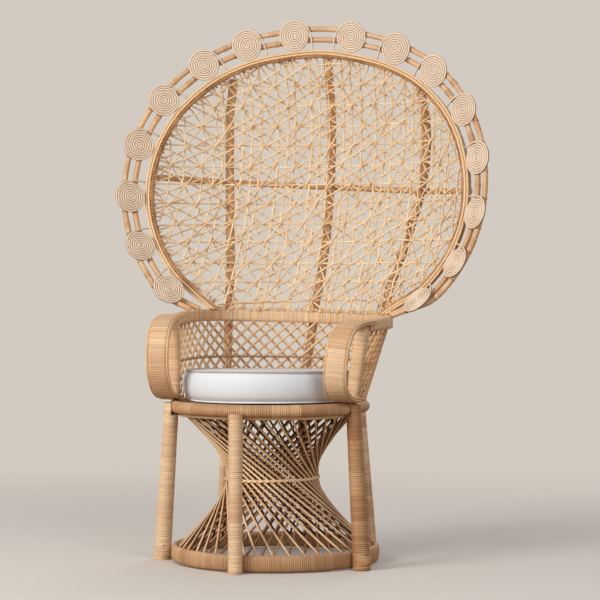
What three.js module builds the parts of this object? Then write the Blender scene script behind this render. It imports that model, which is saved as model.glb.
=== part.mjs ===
// Peacock chair: a wrapped rattan base, a round cushion in a lattice barrel, and a tall dished fan with
// coiled medallions. Millimetres, +Z up, the chair faces -Y. Lengths are measured from the middle of the
// base, and the last lines move the finished chair so that its bounding box stands centred on the origin.
import * as THREE from "three";

const clearance = 0.3; // between neighbouring pieces
const bendStretch = 1.4; // most that a section widens in a sharp bend

// Colours and finishes
const canePale = { color: 0xe6c592, roughness: 0.5, metalness: 0 };
const caneWrapped = { color: 0xd9b279, roughness: 0.45, metalness: 0 };
const caneBare = { color: 0xa9784c, roughness: 0.5, metalness: 0 };
const bindingDark = { color: 0x8c5f38, roughness: 0.6, metalness: 0 };
const linen = { color: 0xe8e4e0, roughness: 0.9, metalness: 0 };
const linenEdge = { color: 0xcfc3b8, roughness: 0.9, metalness: 0 };
const board = { color: 0xb08a5c, roughness: 0.7, metalness: 0 };

// Base and seat rings, each an ellipse with its centre a little to the side of the middle plane or on it
const baseRing = { halfWidth: 268, halfDepth: 278, side: 9, middle: -5, thick: 16, low: 3, high: 46, bevel: 4 };
const seatRing = { halfWidth: 251, halfDepth: 262, side: 0, middle: -32, radius: 16, height: 414 };
const strandRing = { inset: 15, radius: 6.5, drop: 18 };
const strandHeight = seatRing.height - strandRing.drop;
const ringSegments = 36;
const caneSides = 5;
const ringSides = 8;

// Legs and poles
const leg = {
  radius: 19.5, sideFootRadius: 23.5, sides: 8, topOutset: 13,
  frontFoot: -1.8, rightFoot: 65.5, rightTop: 74.5, leftFoot: 74, leftTop: 58,
};
const pole = { radius: 11.5, sides: 8, rightFoot: 133, leftFoot: 130.5, seatSide: 136, railSide: 212, hold: 4 };

// Hourglass of laced cane under the seat
const lacing = {
  strands: 36, radius: 3.2, underRim: 8, turn: 120, innerTurn: 124, familyGap: 9.4, gap: 0.7, waistGap: 4.6,
};
const lacingLow = baseRing.high - lacing.underRim;
const waist = { height: 222, radius: 2.6, segments: 36 };

// Seat
const deck = { rise: 13, thick: 11, gap: 0.4 };
const deckTop = seatRing.height + deck.rise;
const cushion = { halfWidth: 229.5, halfDepth: 239, middle: -27, height: 86 };
const cushionProfileShares = [[0.93, 0], [0.985, 0.1], [1, 0.42], [0.99, 0.78], [0.965, 0.93], [0.9, 0.985]];
const piping = { radius: 3.4, sides: 5, highShare: 0.93, lowShare: 0.06, highOutset: 0.982, lowOutset: 0.994 };
const cushionSegments = 28;

// The barrel, the arms and the fan lean a little to the right-hand side of the chair, as the woven back has settled.
// The barrel and the arms drop on that side by a share of what the fan does.
const lean = { turn: 3.2, start: 427.5, full: 625, barrelShare: 0.45, fanFrom: 668.5, fanFull: 745 };

// Top rail of the barrel, right half from the arm to the middle of the back: X, Y, Z
const railStations = [
  [267, -68, 636], [275, -20, 638], [280, 40, 641], [279, 95, 643], [268, 148, 645], [250, 190, 645],
  [218, 236, 645], [170, 273, 645], [100, 300, 645], [0, 312, 645],
];
const rail = { thick: 24, tall: 32, bevel: 6, segments: 30, backFrom: 150, samples: 200 };

// Barrel lattice between the seat ring and the rail
const lattice = {
  strands: 24, run: 0.2, radius: 2.9, offset: 5.3, startAngle: 79, segments: 3,
  endShare: 0.985, shortest: 0.12, gap: 1.7, topInset: 7,
};
const latticeBand = { share: 0.52, radius: 2.6, inset: 15.4, segments: 24 };

// Arms: a flat wrapped band that curls from the rail down to the seat ring, right arm: X, Y, Z
const armStations = [
  [267, -69.2, 644], [263, -112, 644], [257, -152, 641], [252, -190, 634], [248, -222, 617], [245, -242, 588],
  [243, -249, 550], [241, -245, 510], [239, -228, 477], [240, -203, 457], [242, -169, 444], [250, -112, 437.2],
];
const armBand = { wide: 52, thick: 14, bevel: 4, segments: 16 };
const armCane = { radius: 3.2, sides: 4 };
const armPost = { wide: 38, deep: 30, bevel: 8, lowX: 246, highX: 264, y: -93 };

// Rim of the fan, through the middles of the medallions, right half from the top down: X, Y, Z
const rimTop = [0, 281, 1436];
const rimStations = [
  [82, 279, 1429], [216, 265, 1398], [332, 240, 1337], [431, 199, 1232], [485, 161, 1102], [493, 136, 955],
  [450, 123, 819], [360, 114, 704],
];
const rimTail = [258, 142, 652];
// How far the rim flares forward at the top, at each medallion and at the tail, degrees
const rimFlares = [1, 2, 6, 12, 22, 33, 42, 47, 50, 52];
const rimSegments = 36;
const reachSteps = 30; // samples between two stations of a ring
const medallion = { radius: 43.5, thick: 7, segments: 14, margin: 0.8 };
const fanRing = { radius: 6.5, outset: 15.5, inset: 14.5, sides: 5 };
const hoop = { inset: 50, thick: 9, deep: 42, bevel: 2 };
const hoopCane = { radius: 3.3, spread: 3.7, sides: 4, footSpread: 1.4 };
const outerRingFoot = { at: [288, 110, 661.1], rise: 14 };
const innerRingFoot = { at: [274, 143, 661.6], rise: 14 };
const hoopFoot = { at: [247, 197, 662.2], rise: 30 };

// Woven shell of the fan
const shell = { middleY: 417, middleZ: 1030, power: 2.6, edgeBack: 24, within: 0.97, railSteps: 12 };
const weave = {
  radius: 2.64, sides: 4, layerStep: 10, uprights: 22, diagonals: 12, slope: 55, segments: 8, trim: 6, backGap: 1.6,
};
const edgeGap = 3.9; // from the hoop band's inner face to the middle of the edge strand

// Poles inside the fan: height and distance from the middle plane of the side poles
const sidePoleStations = {
  right: [[740, 221], [800, 231], [893, 250], [990, 272], [1083, 287], [1150, 290], [1207, 288]],
  left: [[740, 227], [800, 242], [893, 262], [990, 273], [1083, 278], [1150, 278], [1207, 276]],
};
const middlePoleHeights = [740, 800, 883, 960, 1040, 1141, 1230];
const poleHeads = { middle: [0, 1372], right: [278, 1304], left: [268, 1304] };
const brace = { radius: 9, sides: 6, height: 1016, poleSide: 275, segments: 10 };

const up = new THREE.Vector3(0, 0, 1);
const across = new THREE.Vector3(1, 0, 0);
const back = new THREE.Vector3(0, 1, 0);
const degrees = (turn) => (turn * Math.PI) / 180;
const vector = (values) => new THREE.Vector3(...values);
const mirrored = (point) => new THREE.Vector3(-point.x, point.y, point.z);

// Moves a point of the upper chair with the lean, none of it below the seat ring and all of it in the fan
function leaned(point) {
  const rise = point.z - lean.start;
  if (rise <= 0) return point.clone();
  const share = THREE.MathUtils.smoothstep(point.z, lean.start, lean.full) * lean.barrelShare
    + THREE.MathUtils.smoothstep(point.z, lean.fanFrom, lean.fanFull) * (1 - lean.barrelShare);
  const slope = Math.sin(degrees(lean.turn));
  return new THREE.Vector3(point.x + rise * slope, point.y, point.z - point.x * slope * share);
}

// A path through given stations, with the section plane at each one mitred between its two legs
class Route extends THREE.Curve {
  constructor(stations, facing, cut = null) {
    super();
    this.stations = stations;
    this.facing = typeof facing === "function" ? facing : () => facing;
    this.cut = cut; // the end faces are square to this direction, or to the path where none is given
  }
  getPoint(share, target = new THREE.Vector3()) {
    const last = this.stations.length - 1;
    const at = Math.min(Math.floor(share * last), last - 1);
    return target.lerpVectors(this.stations[at], this.stations[at + 1], share * last - at);
  }
  getSpacedPoints() {
    return this.stations;
  }
  computeFrenetFrames() {
    const frames = { tangents: [], normals: [], binormals: [] };
    const last = this.stations.length - 1;
    this.stations.forEach((station, i) => {
      const arriving = station.clone().sub(this.stations[Math.max(i - 1, 0)]).normalize();
      const leaving = this.stations[Math.min(i + 1, last)].clone().sub(station).normalize();
      const tangent = arriving.clone().add(leaving).normalize();
      if (this.cut && (i === 0 || i === last)) {
        tangent.copy(this.cut).multiplyScalar(Math.sign(tangent.dot(this.cut)));
      }
      const facing = this.facing(station, i);
      const normal = facing.clone().addScaledVector(tangent, -facing.dot(tangent)).normalize();
      const binormal = new THREE.Vector3().crossVectors(tangent, normal);
      const bend = leaving.clone().sub(arriving);
      if (i > 0 && i < last && bend.length() > 0) {
        const half = Math.asin(Math.min(bend.length() / 2, 1));
        const stretch = Math.min(1 / Math.cos(half), bendStretch) - 1;
        bend.normalize();
        for (const side of [normal, binormal]) side.addScaledVector(bend, side.dot(bend) * stretch);
      }
      frames.tangents.push(tangent);
      frames.normals.push(normal);
      frames.binormals.push(binormal);
    });
    return frames;
  }
}

// A regular polygon section of a round cane
function caneSection(radius, sides) {
  const corners = [];
  for (let i = 0; i < sides; i++) {
    const turn = (2 * Math.PI * (i + 0.5)) / sides;
    corners.push(new THREE.Vector2(radius * Math.cos(turn), radius * Math.sin(turn)));
  }
  return new THREE.Shape(corners);
}

// A rectangle with cut corners, its width across the facing direction
function bandSection(along, across, bevel) {
  const x = along / 2;
  const y = across / 2;
  const corners = [
    [x, bevel - y], [x, y - bevel], [x - bevel, y], [bevel - x, y],
    [-x, y - bevel], [-x, bevel - y], [bevel - x, -y], [x - bevel, -y],
  ];
  return new THREE.Shape(corners.map(([a, b]) => new THREE.Vector2(a, b)));
}

function swept(route, section) {
  return new THREE.ExtrudeGeometry(section, { steps: route.stations.length - 1, extrudePath: route });
}

// Evenly spaced points on a smooth curve through the given points
function smooth(points, segments) {
  return new THREE.CatmullRomCurve3(points, false, "centripetal").getSpacedPoints(segments);
}

// A closed or axis-to-axis profile turned about a vertical axis and stretched to an ellipse
function turned(profile, segments, depthShare) {
  const points = profile.map(([radius, height]) => new THREE.Vector2(radius, height));
  const geometry = new THREE.LatheGeometry(points, segments);
  geometry.rotateX(Math.PI / 2);
  geometry.scale(1, depthShare, 1);
  return geometry;
}

const chair = new THREE.Group();
function piece(name, geometry, finish, position = new THREE.Vector3()) {
  const mesh = new THREE.Mesh(geometry, new THREE.MeshStandardMaterial(finish));
  mesh.name = name;
  mesh.position.copy(position);
  chair.add(mesh);
  return mesh;
}

// A point on a ring's ellipse, its angle taken from the front of the chair toward the right arm
function onRing(ring, turn, outset, height) {
  const angle = degrees(turn);
  const outward = new THREE.Vector3(Math.sin(angle) / ring.halfWidth, -Math.cos(angle) / ring.halfDepth, 0);
  outward.normalize();
  return new THREE.Vector3(
    ring.side + ring.halfWidth * Math.sin(angle),
    ring.middle - ring.halfDepth * Math.cos(angle),
    height,
  ).addScaledVector(outward, outset);
}

// Base ring, a tall wrapped band
{
  const inside = baseRing.halfWidth - baseRing.thick / 2;
  const outside = baseRing.halfWidth + baseRing.thick / 2;
  const { low, high, bevel } = baseRing;
  const profile = [
    [inside, high - bevel], [inside, low], [outside - bevel, low], [outside, low + bevel],
    [outside, high - bevel], [outside - bevel, high], [inside + bevel, high], [inside, high - bevel],
  ];
  piece("base_ring", turned(profile, ringSegments, baseRing.halfDepth / baseRing.halfWidth), caneWrapped,
    new THREE.Vector3(baseRing.side, baseRing.middle, 0));
}

function tubeRing(name, halfWidth, halfDepth, [side, middle, height], radius, sides, segments, finish) {
  const profile = [];
  for (let i = 0; i <= sides; i++) {
    const turn = (2 * Math.PI * (i + 0.5)) / sides;
    profile.push([halfWidth + radius * Math.cos(turn), radius * Math.sin(turn)]);
  }
  piece(name, turned(profile, segments, halfDepth / halfWidth), finish, new THREE.Vector3(side, middle, height));
}

const { side: seatSide, middle: seatMiddle } = seatRing;
tubeRing("seat_ring", seatRing.halfWidth, seatRing.halfDepth, [seatSide, seatMiddle, seatRing.height],
  seatRing.radius, ringSides, ringSegments, caneWrapped);
tubeRing("strand_ring", seatRing.halfWidth - strandRing.inset, seatRing.halfDepth - strandRing.inset,
  [seatSide, seatMiddle, strandHeight], strandRing.radius, caneSides, ringSegments, canePale);

// Wrapped legs, the foot just outside the base ring and the top under the seat ring
const flatUnder = Math.cos(Math.PI / ringSides); // height of an eight-sided tube's flat against its radius
function legPiece(name, footTurn, topTurn, footRadius) {
  const high = seatRing.height - seatRing.radius * flatUnder - clearance;
  const top = onRing(seatRing, topTurn, leg.topOutset, high);
  const touch = onRing(baseRing, footTurn, baseRing.thick / 2 + clearance + footRadius, baseRing.high);
  const foot = touch.clone().addScaledVector(touch.clone().sub(top), baseRing.high / (high - baseRing.high));
  const halfTurn = Math.PI / leg.sides;
  const geometry = new THREE.CylinderGeometry(leg.radius, footRadius, top.z, leg.sides, 1, false, halfTurn);
  geometry.rotateX(Math.PI / 2).translate(0, 0, top.z / 2);
  geometry.applyMatrix4(new THREE.Matrix4().set(
    1, 0, (top.x - foot.x) / top.z, foot.x,
    0, 1, (top.y - foot.y) / top.z, foot.y,
    0, 0, 1, 0,
    0, 0, 0, 1,
  ));
  piece(name, geometry, caneWrapped);
}
legPiece("front_leg", leg.frontFoot, 0, leg.radius);
legPiece("front_right_leg", leg.rightFoot, leg.rightTop, leg.sideFootRadius);
legPiece("front_left_leg", -leg.leftFoot, -leg.leftTop, leg.sideFootRadius);

// Hourglass: the inner family is one cane laced up and down between the two rings, and the outer family
// is two, one below and one above the waist
const laceTop = {
  halfWidth: seatRing.halfWidth - strandRing.inset - strandRing.radius,
  halfDepth: seatRing.halfDepth - strandRing.inset - strandRing.radius,
  side: seatRing.side,
  middle: seatRing.middle,
};
const laceFoot = {
  halfWidth: baseRing.halfWidth - baseRing.thick / 2,
  halfDepth: baseRing.halfDepth - baseRing.thick / 2,
  side: baseRing.side,
  middle: baseRing.middle,
};
const waistShare = (waist.height - lacingLow) / (strandHeight - lacingLow);
const waistGapShare = lacing.waistGap / (strandHeight - lacingLow);
function lacedFamily(name, direction, inset, turn, from = 0, to = 1) {
  const step = 360 / lacing.strands;
  const drop = inset + lacing.gap + lacing.radius;
  const strands = [];
  for (let i = 0; i < lacing.strands; i++) {
    const low = onRing(laceFoot, i * step, -drop, lacingLow);
    const high = onRing(laceTop, i * step - direction * turn, -drop, strandHeight);
    strands.push([low.clone().lerp(high, from), low.clone().lerp(high, to)]);
  }
  const stations = strands.flatMap(([low, high], i) => (i % 2 ? [high, low] : [low, high]));
  piece(name, swept(new Route(stations, up.clone().add(across)), caneSection(lacing.radius, caneSides)), canePale);
  return strands;
}
const lowerStrands = lacedFamily("hourglass_lower", 1, 0, lacing.turn, 0, waistShare - waistGapShare);
const upperStrands = lacedFamily("hourglass_upper", 1, 0, lacing.turn, waistShare + waistGapShare, 1);
lacedFamily("hourglass_inner", -1, lacing.familyGap, lacing.innerTurn);

// Cane bound round the waist of the hourglass
{
  const spots = [...lowerStrands.map(([, high]) => high), ...upperStrands.map(([low]) => low)];
  const side = THREE.MathUtils.lerp(baseRing.side, seatRing.side, waistShare);
  const middle = THREE.MathUtils.lerp(baseRing.middle, seatRing.middle, waistShare);
  const offsets = spots.map((spot) => [Math.abs(spot.x - side), Math.abs(spot.y - middle)]);
  const halfWidth = Math.max(...offsets.map(([x]) => x));
  const halfDepth = Math.max(...offsets.map(([, y]) => y));
  const swell = Math.max(...offsets.map(([x, y]) => Math.hypot(x / halfWidth, y / halfDepth)));
  const outset = Math.sqrt((lacing.radius + waist.radius + clearance) ** 2 - lacing.waistGap ** 2);
  const reach = (half) => (half * swell + outset) / Math.cos(Math.PI / waist.segments);
  tubeRing("waist_binding", reach(halfWidth), reach(halfDepth), [side, middle, waist.height], waist.radius,
    caneSides, waist.segments, canePale);
}

// Seat deck inside the seat ring, and the cushion on it
const seatInside = seatRing.halfWidth - seatRing.radius - deck.gap;
const seatInsideDepth = seatRing.halfDepth - seatRing.radius - deck.gap;
piece("seat_deck", turned([[0, 0], [seatInside, 0], [seatInside, deck.thick], [0, deck.thick]], ringSegments,
  seatInsideDepth / seatInside), board, new THREE.Vector3(seatSide, seatMiddle, deckTop - deck.thick));

const cushionLow = deckTop + clearance;
const cushionDepthShare = cushion.halfDepth / cushion.halfWidth;
{
  const profile = cushionProfileShares.map(([r, h]) => [r * cushion.halfWidth, h * cushion.height]);
  piece("seat_cushion", turned([[0, 0], ...profile, [0, cushion.height]], cushionSegments, cushionDepthShare), linen,
    new THREE.Vector3(0, cushion.middle, cushionLow));
}
function pipingRing(name, share, outset) {
  const reach = cushion.halfWidth * outset;
  tubeRing(name, reach, reach * cushionDepthShare, [0, cushion.middle, cushionLow + cushion.height * share],
    piping.radius, piping.sides, cushionSegments, linenEdge);
}
pipingRing("cushion_piping_top", piping.highShare, piping.highOutset);
pipingRing("cushion_piping_bottom", piping.lowShare, piping.lowOutset);

// Top rail
const railRight = railStations.map(vector);
const railLine = [...railRight, ...railRight.slice(0, -1).reverse().map(mirrored)];
{
  const stations = smooth(railLine, rail.segments).map(leaned);
  const section = bandSection(rail.tall, rail.thick, rail.bevel);
  piece("top_rail", swept(new Route(stations, up, back), section), caneWrapped);
}
const railCurve = new THREE.CatmullRomCurve3(railLine, false, "centripetal");

// Barrel wall between the seat ring and the rail: share runs from the right post round the back to the left post
function wallPoint(share, rise, outset) {
  const turn = lattice.startAngle + share * (360 - 2 * lattice.startAngle);
  const low = onRing(seatRing, turn, 0, seatRing.height + seatRing.radius * flatUnder + lattice.gap + lattice.radius);
  const high = railCurve.getPointAt(THREE.MathUtils.clamp(share, 0, 1));
  high.z -= rail.tall / 2 + lattice.gap + lattice.radius;
  const outward = onRing(seatRing, turn, 1, low.z).sub(onRing(seatRing, turn, 0, low.z));
  return low.lerp(high, rise).addScaledVector(outward, outset - lattice.topInset * rise);
}
const outwardAt = (point) => new THREE.Vector3(point.x, point.y - seatRing.middle, 0).normalize();

function latticeFamily(name, direction, outset) {
  const stations = [];
  const extra = Math.ceil(lattice.run * lattice.strands);
  let upward = true;
  for (let i = -extra; i <= lattice.strands; i++) {
    const start = (i + 0.5) / lattice.strands;
    const from = Math.max(0, (1 - lattice.endShare - start) / lattice.run);
    const to = Math.min(1, (lattice.endShare - start) / lattice.run);
    if (to - from < lattice.shortest) continue;
    const strand = [];
    for (let k = 0; k <= lattice.segments; k++) {
      const rise = from + ((to - from) * k) / lattice.segments;
      const share = start + rise * lattice.run;
      strand.push(leaned(wallPoint(direction > 0 ? share : 1 - share, rise, outset)));
    }
    stations.push(...(upward ? strand : strand.reverse()));
    upward = !upward;
  }
  piece(name, swept(new Route(stations, outwardAt), caneSection(lattice.radius * Math.SQRT2, 4)), canePale);
}
latticeFamily("lattice_outer", 1, lattice.offset);
latticeFamily("lattice_inner", -1, -lattice.offset);
{
  const stations = [];
  for (let k = 0; k <= latticeBand.segments; k++) {
    const share = 1 - lattice.endShare + ((2 * lattice.endShare - 1) * k) / latticeBand.segments;
    stations.push(leaned(wallPoint(share, latticeBand.share, -latticeBand.inset)));
  }
  piece("lattice_band", swept(new Route(stations, up), caneSection(latticeBand.radius, 4)), canePale);
}

// Arms
const armRight = armStations.map(vector);
for (const [side, name] of [[1, "right"], [-1, "left"]]) {
  const turnSide = (point) => (side > 0 ? point.clone() : mirrored(point));
  const middle = smooth(armRight, armBand.segments);
  const line = middle.map((point) => leaned(turnSide(point)));
  const bandOutline = bandSection(armBand.wide, armBand.thick, armBand.bevel);
  piece(name + "_arm_band", swept(new Route(line, across), bandOutline), caneWrapped);
  for (const [edge, edgeName] of [[1, "outer"], [-1, "inner"]]) {
    const shift = edge * side * (armBand.wide / 2 + clearance + armCane.radius);
    const caneLine = line.map((point) => point.clone().setX(point.x + shift));
    const caneOutline = caneSection(armCane.radius, armCane.sides);
    piece(name + "_arm_cane_" + edgeName, swept(new Route(caneLine, across, back), caneOutline), canePale);
  }
  const overRing = seatRing.height + seatRing.radius * flatUnder + clearance;
  const postLow = turnSide(new THREE.Vector3(armPost.lowX, armPost.y, overRing));
  const armUnder = armStations[0][2] - armBand.thick / 2 - clearance;
  const postHigh = leaned(turnSide(new THREE.Vector3(armPost.highX, armPost.y, armUnder)));
  piece(name + "_arm_post", swept(new Route([postLow, postHigh], across, up),
    bandSection(armPost.wide, armPost.deep, armPost.bevel)), caneWrapped);
}

// Rim of the fan
const rimRight = [rimTop, ...rimStations, rimTail].map(vector);
const rimLine = [...rimRight.slice(1).reverse().map(mirrored), ...rimRight];
const rimCurve = new THREE.CatmullRomCurve3(rimLine, false, "centripetal");
const rimCount = rimLine.length - 1;
function rimFrame(share) {
  const middle = rimCurve.getPoint(share);
  const heading = rimCurve.getTangent(share);
  const inward = new THREE.Vector3(-heading.z, 0, heading.x).normalize().negate();
  if (inward.z * (shell.middleZ - middle.z) - inward.x * middle.x < 0) inward.negate();
  const at = Math.abs(share * rimCount - rimCount / 2);
  const low = Math.min(Math.floor(at), rimFlares.length - 2);
  const flare = degrees(THREE.MathUtils.lerp(rimFlares[low], rimFlares[low + 1], at - low));
  const toward = inward.clone().multiplyScalar(Math.cos(flare)).addScaledVector(back, Math.sin(flare));
  toward.addScaledVector(heading, -toward.dot(heading)).normalize();
  const front = new THREE.Vector3().crossVectors(heading, toward);
  if (front.y > 0) front.negate();
  return { middle, heading, inward, toward, front };
}
// A line beside the rim: set in along the flare, behind it, straight back, level inward, its feet on the rail
function rimOffset(inset, behind, backward, foot, inside = 0, footShift = new THREE.Vector3()) {
  const stations = [];
  for (let k = 0; k <= rimSegments; k++) {
    const { middle, inward, toward, front } = rimFrame(k / rimSegments);
    const point = middle.addScaledVector(toward, inset).addScaledVector(front, -behind);
    point.addScaledVector(back, backward).addScaledVector(inward, inside);
    if (point.z > foot.at[2] + foot.rise) stations.push(point);
  }
  const end = vector(foot.at).add(footShift);
  return [mirrored(end), ...stations, end];
}
const ringBehind = medallion.thick / 2 + clearance + fanRing.radius;
function rimTube(name, line, section, finish) {
  const route = new Route(line.map(leaned), back, up);
  piece(name, swept(route, section), finish);
  return route;
}
const outerRing = rimTube("outer_fan_ring", rimOffset(-fanRing.outset, ringBehind, 0, outerRingFoot),
  caneSection(fanRing.radius, fanRing.sides), caneWrapped);
const innerRing = rimTube("inner_fan_ring", rimOffset(fanRing.inset, ringBehind, 0, innerRingFoot),
  caneSection(fanRing.radius, fanRing.sides), caneWrapped);

const bandBack = hoopCane.radius + clearance + hoop.deep / 2;
rimTube("hoop_band", rimOffset(hoop.inset, 0, bandBack, hoopFoot), bandSection(hoop.deep, hoop.thick, hoop.bevel),
  bindingDark);
for (const [shift, name] of [[-hoopCane.spread, "outer"], [hoopCane.spread, "inner"]]) {
  const footShift = new THREE.Vector3(-shift * hoopCane.footSpread, -bandBack, 0);
  rimTube("hoop_cane_" + name, rimOffset(hoop.inset, 0, 0, hoopFoot, shift, footShift),
    caneSection(hoopCane.radius, hoopCane.sides), canePale);
}

// The long edges of the two fan rings, which the medallions lie on
const ringEdges = [outerRing, innerRing].flatMap((route) => {
  const { normals, binormals } = route.computeFrenetFrames();
  const edgeAt = ({ x, y }) => route.stations.map((station, i) =>
    station.clone().addScaledVector(normals[i], x).addScaledVector(binormals[i], y));
  return caneSection(fanRing.radius, fanRing.sides).getPoints().map(edgeAt);
});
function ringReach(centre, facing) {
  let reach = -Infinity;
  for (const edge of ringEdges) {
    for (let k = 0; k <= (edge.length - 1) * reachSteps; k++) {
      const at = Math.min(Math.floor(k / reachSteps), edge.length - 2);
      const offset = edge[at].clone().lerp(edge[at + 1], k / reachSteps - at).sub(centre);
      const ahead = offset.dot(facing);
      const beside = offset.addScaledVector(facing, -ahead).length();
      if (beside < medallion.radius + fanRing.radius * medallion.margin) reach = Math.max(reach, ahead);
    }
  }
  return reach;
}

// Coiled medallions on the front of the two fan rings, numbered from the top down
const medallionProfile = [
  [0, -medallion.thick / 2], [medallion.radius, -medallion.thick / 2],
  [medallion.radius, medallion.thick / 2], [0, medallion.thick / 2],
];
for (const [side, name] of [[1, "right"], [-1, "left"]]) {
  rimStations.forEach((station, i) => {
    const share = (rimCount / 2 + side * (i + 1)) / rimCount;
    const { middle, heading, toward, front } = rimFrame(share);
    const centre = leaned(middle);
    const alongRim = leaned(middle.clone().add(heading)).sub(centre);
    const inRim = leaned(middle.clone().add(toward)).sub(centre);
    const facing = alongRim.cross(inRim).normalize();
    if (facing.dot(front) < 0) facing.negate();
    const disc = turned(medallionProfile, medallion.segments, 1);
    const place = centre.clone().addScaledVector(facing, ringReach(centre, facing) + clearance + medallion.thick / 2);
    const mesh = piece("medallion_" + name + "_" + (i + 1), disc, canePale, place);
    mesh.quaternion.setFromUnitVectors(up, facing);
  });
}

// Edge of the woven shell: inside the hoop band, then along the top of the rail
const edgeLine = [];
{
  const inside = hoop.thick / 2 + edgeGap;
  const footShift = new THREE.Vector3(-inside, shell.edgeBack - bandBack, 0);
  edgeLine.push(...rimOffset(hoop.inset, 0, shell.edgeBack, hoopFoot, inside, footShift));
  const foot = edgeLine[edgeLine.length - 1].clone();
  const lowest = foot.z + weave.radius + clearance;
  edgeLine[0].z = lowest;
  edgeLine[edgeLine.length - 1].z = lowest;
  for (let k = 1; k < shell.railSteps; k++) {
    const x = foot.x * (1 - (2 * k) / shell.railSteps);
    edgeLine.push(new THREE.Vector3(x, railDepth(x), lowest));
  }
}
function railDepth(x) {
  const half = railRight.filter((point) => point.y > 0);
  for (let i = 0; i + 1 < half.length; i++) {
    const [a, b] = [half[i], half[i + 1]];
    if (Math.abs(x) <= a.x && Math.abs(x) >= b.x) {
      return THREE.MathUtils.mapLinear(Math.abs(x), a.x, b.x, a.y, b.y);
    }
  }
  return half[half.length - 1].y;
}

// Where a straight line in the X-Z plane crosses the edge of the shell
function crossings(origin, heading) {
  const found = [];
  for (let i = 0; i < edgeLine.length; i++) {
    const a = edgeLine[i];
    const b = edgeLine[(i + 1) % edgeLine.length];
    const sideA = (a.x - origin.x) * heading.z - (a.z - origin.z) * heading.x;
    const sideB = (b.x - origin.x) * heading.z - (b.z - origin.z) * heading.x;
    if (sideA < 0 === sideB < 0) continue;
    const point = a.clone().lerp(b, sideA / (sideA - sideB));
    found.push({ along: (point.x - origin.x) * heading.x + (point.z - origin.z) * heading.z, point });
  }
  return found.sort((a, b) => a.along - b.along);
}
function shellPoint(x, z) {
  const heading = new THREE.Vector3(x, 0, z - shell.middleZ);
  const reach = heading.length();
  if (reach < 1) return new THREE.Vector3(x, shell.middleY, z);
  heading.normalize();
  const hit = crossings(new THREE.Vector3(0, 0, shell.middleZ), heading).find(({ along }) => along > 0);
  const share = Math.min(reach / hit.along, 1);
  return new THREE.Vector3(x, THREE.MathUtils.lerp(shell.middleY, hit.point.y, share ** shell.power), z);
}
function shellFront(point) {
  const step = 4;
  const x = point.x * shell.within;
  const z = THREE.MathUtils.lerp(shell.middleZ, point.z, shell.within);
  const here = shellPoint(x, z);
  const besideX = shellPoint(x + step, z).sub(here);
  const besideZ = shellPoint(x, z + step).sub(here);
  return besideX.cross(besideZ).normalize();
}

// One layer of the shell: a single cane laced to and fro between the edges
function wovenLayer(name, heading, count, offset, trim, finish) {
  const sideways = new THREE.Vector3(heading.z, 0, -heading.x);
  const middle = new THREE.Vector3(0, 0, shell.middleZ);
  const reach = edgeLine.map((point) => point.clone().sub(middle).dot(sideways));
  const low = Math.min(...reach);
  const span = Math.max(...reach) - low;
  const stations = [];
  for (let i = 0; i < count; i++) {
    const origin = middle.clone().addScaledVector(sideways, low + (span * (i + 0.5)) / count);
    const hits = crossings(origin, heading);
    const from = hits[0].along + trim;
    const to = hits[hits.length - 1].along - trim;
    const strand = [];
    for (let k = 0; k <= weave.segments; k++) {
      const share = (1 - Math.cos((Math.PI * k) / weave.segments)) / 2;
      const spot = origin.clone().addScaledVector(heading, THREE.MathUtils.lerp(from, to, share));
      const point = shellPoint(spot.x, spot.z);
      strand.push(leaned(point.addScaledVector(shellFront(point), offset)));
    }
    stations.push(...(i % 2 ? strand.reverse() : strand));
  }
  piece(name, swept(new Route(stations, back), caneSection(weave.radius, weave.sides)), finish);
}
const slope = degrees(weave.slope);
wovenLayer("weave_uprights", up, weave.uprights, 0, 0, canePale);
wovenLayer("weave_rising", new THREE.Vector3(Math.cos(slope), 0, Math.sin(slope)), weave.diagonals, weave.layerStep,
  weave.trim, canePale);
wovenLayer("weave_falling", new THREE.Vector3(-Math.cos(slope), 0, Math.sin(slope)), weave.diagonals,
  2 * weave.layerStep, 2 * weave.trim, canePale);

// Bare poles behind the base, the barrel and the shell, with a flat of the section toward what they touch
const poleFlat = pole.radius * Math.cos(Math.PI / pole.sides);
function behindRail(x) {
  const share = nearestRail(x);
  const near = railCurve.getPoint(share);
  const heading = railCurve.getTangent(share);
  const outward = new THREE.Vector3(heading.y, -heading.x, 0).normalize();
  if (outward.y < 0) outward.negate();
  return near.addScaledVector(outward, rail.thick / 2 + 3 * clearance + poleFlat);
}
function nearestRail(x) {
  const shares = Array.from({ length: rail.samples + 1 }, (_, k) => k / rail.samples);
  const behind = shares.filter((share) => railCurve.getPoint(share).y > rail.backFrom);
  const distance = (share) => Math.abs(railCurve.getPoint(share).x - x);
  return behind.reduce((best, share) => (distance(share) < distance(best) ? share : best));
}
function behindShell(x, z) {
  const point = shellPoint(x, z);
  return point.addScaledVector(shellFront(point), -(weave.radius + weave.backGap + poleFlat));
}
function polePiece(name, footTurn, seatTurn, railX, inFan, head) {
  const foot = onRing(baseRing, footTurn, baseRing.thick / 2 + clearance + poleFlat, 0);
  const seat = onRing(seatRing, seatTurn, seatRing.radius + clearance + poleFlat, seatRing.height);
  const held = behindRail(railX);
  const heldLow = held.clone().setZ(held.z - rail.tall / 2 - pole.hold);
  const heldHigh = held.clone().setZ(held.z + rail.tall / 2 + clearance);
  const shellStations = inFan.map(([z, x]) => behindShell(x, z));
  const stations = [foot, foot.clone().setZ(baseRing.high), seat, heldLow, heldHigh, ...shellStations, head];
  piece(name, swept(new Route(stations.map(leaned), across, up), caneSection(pole.radius, pole.sides)), caneBare);
}
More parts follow.
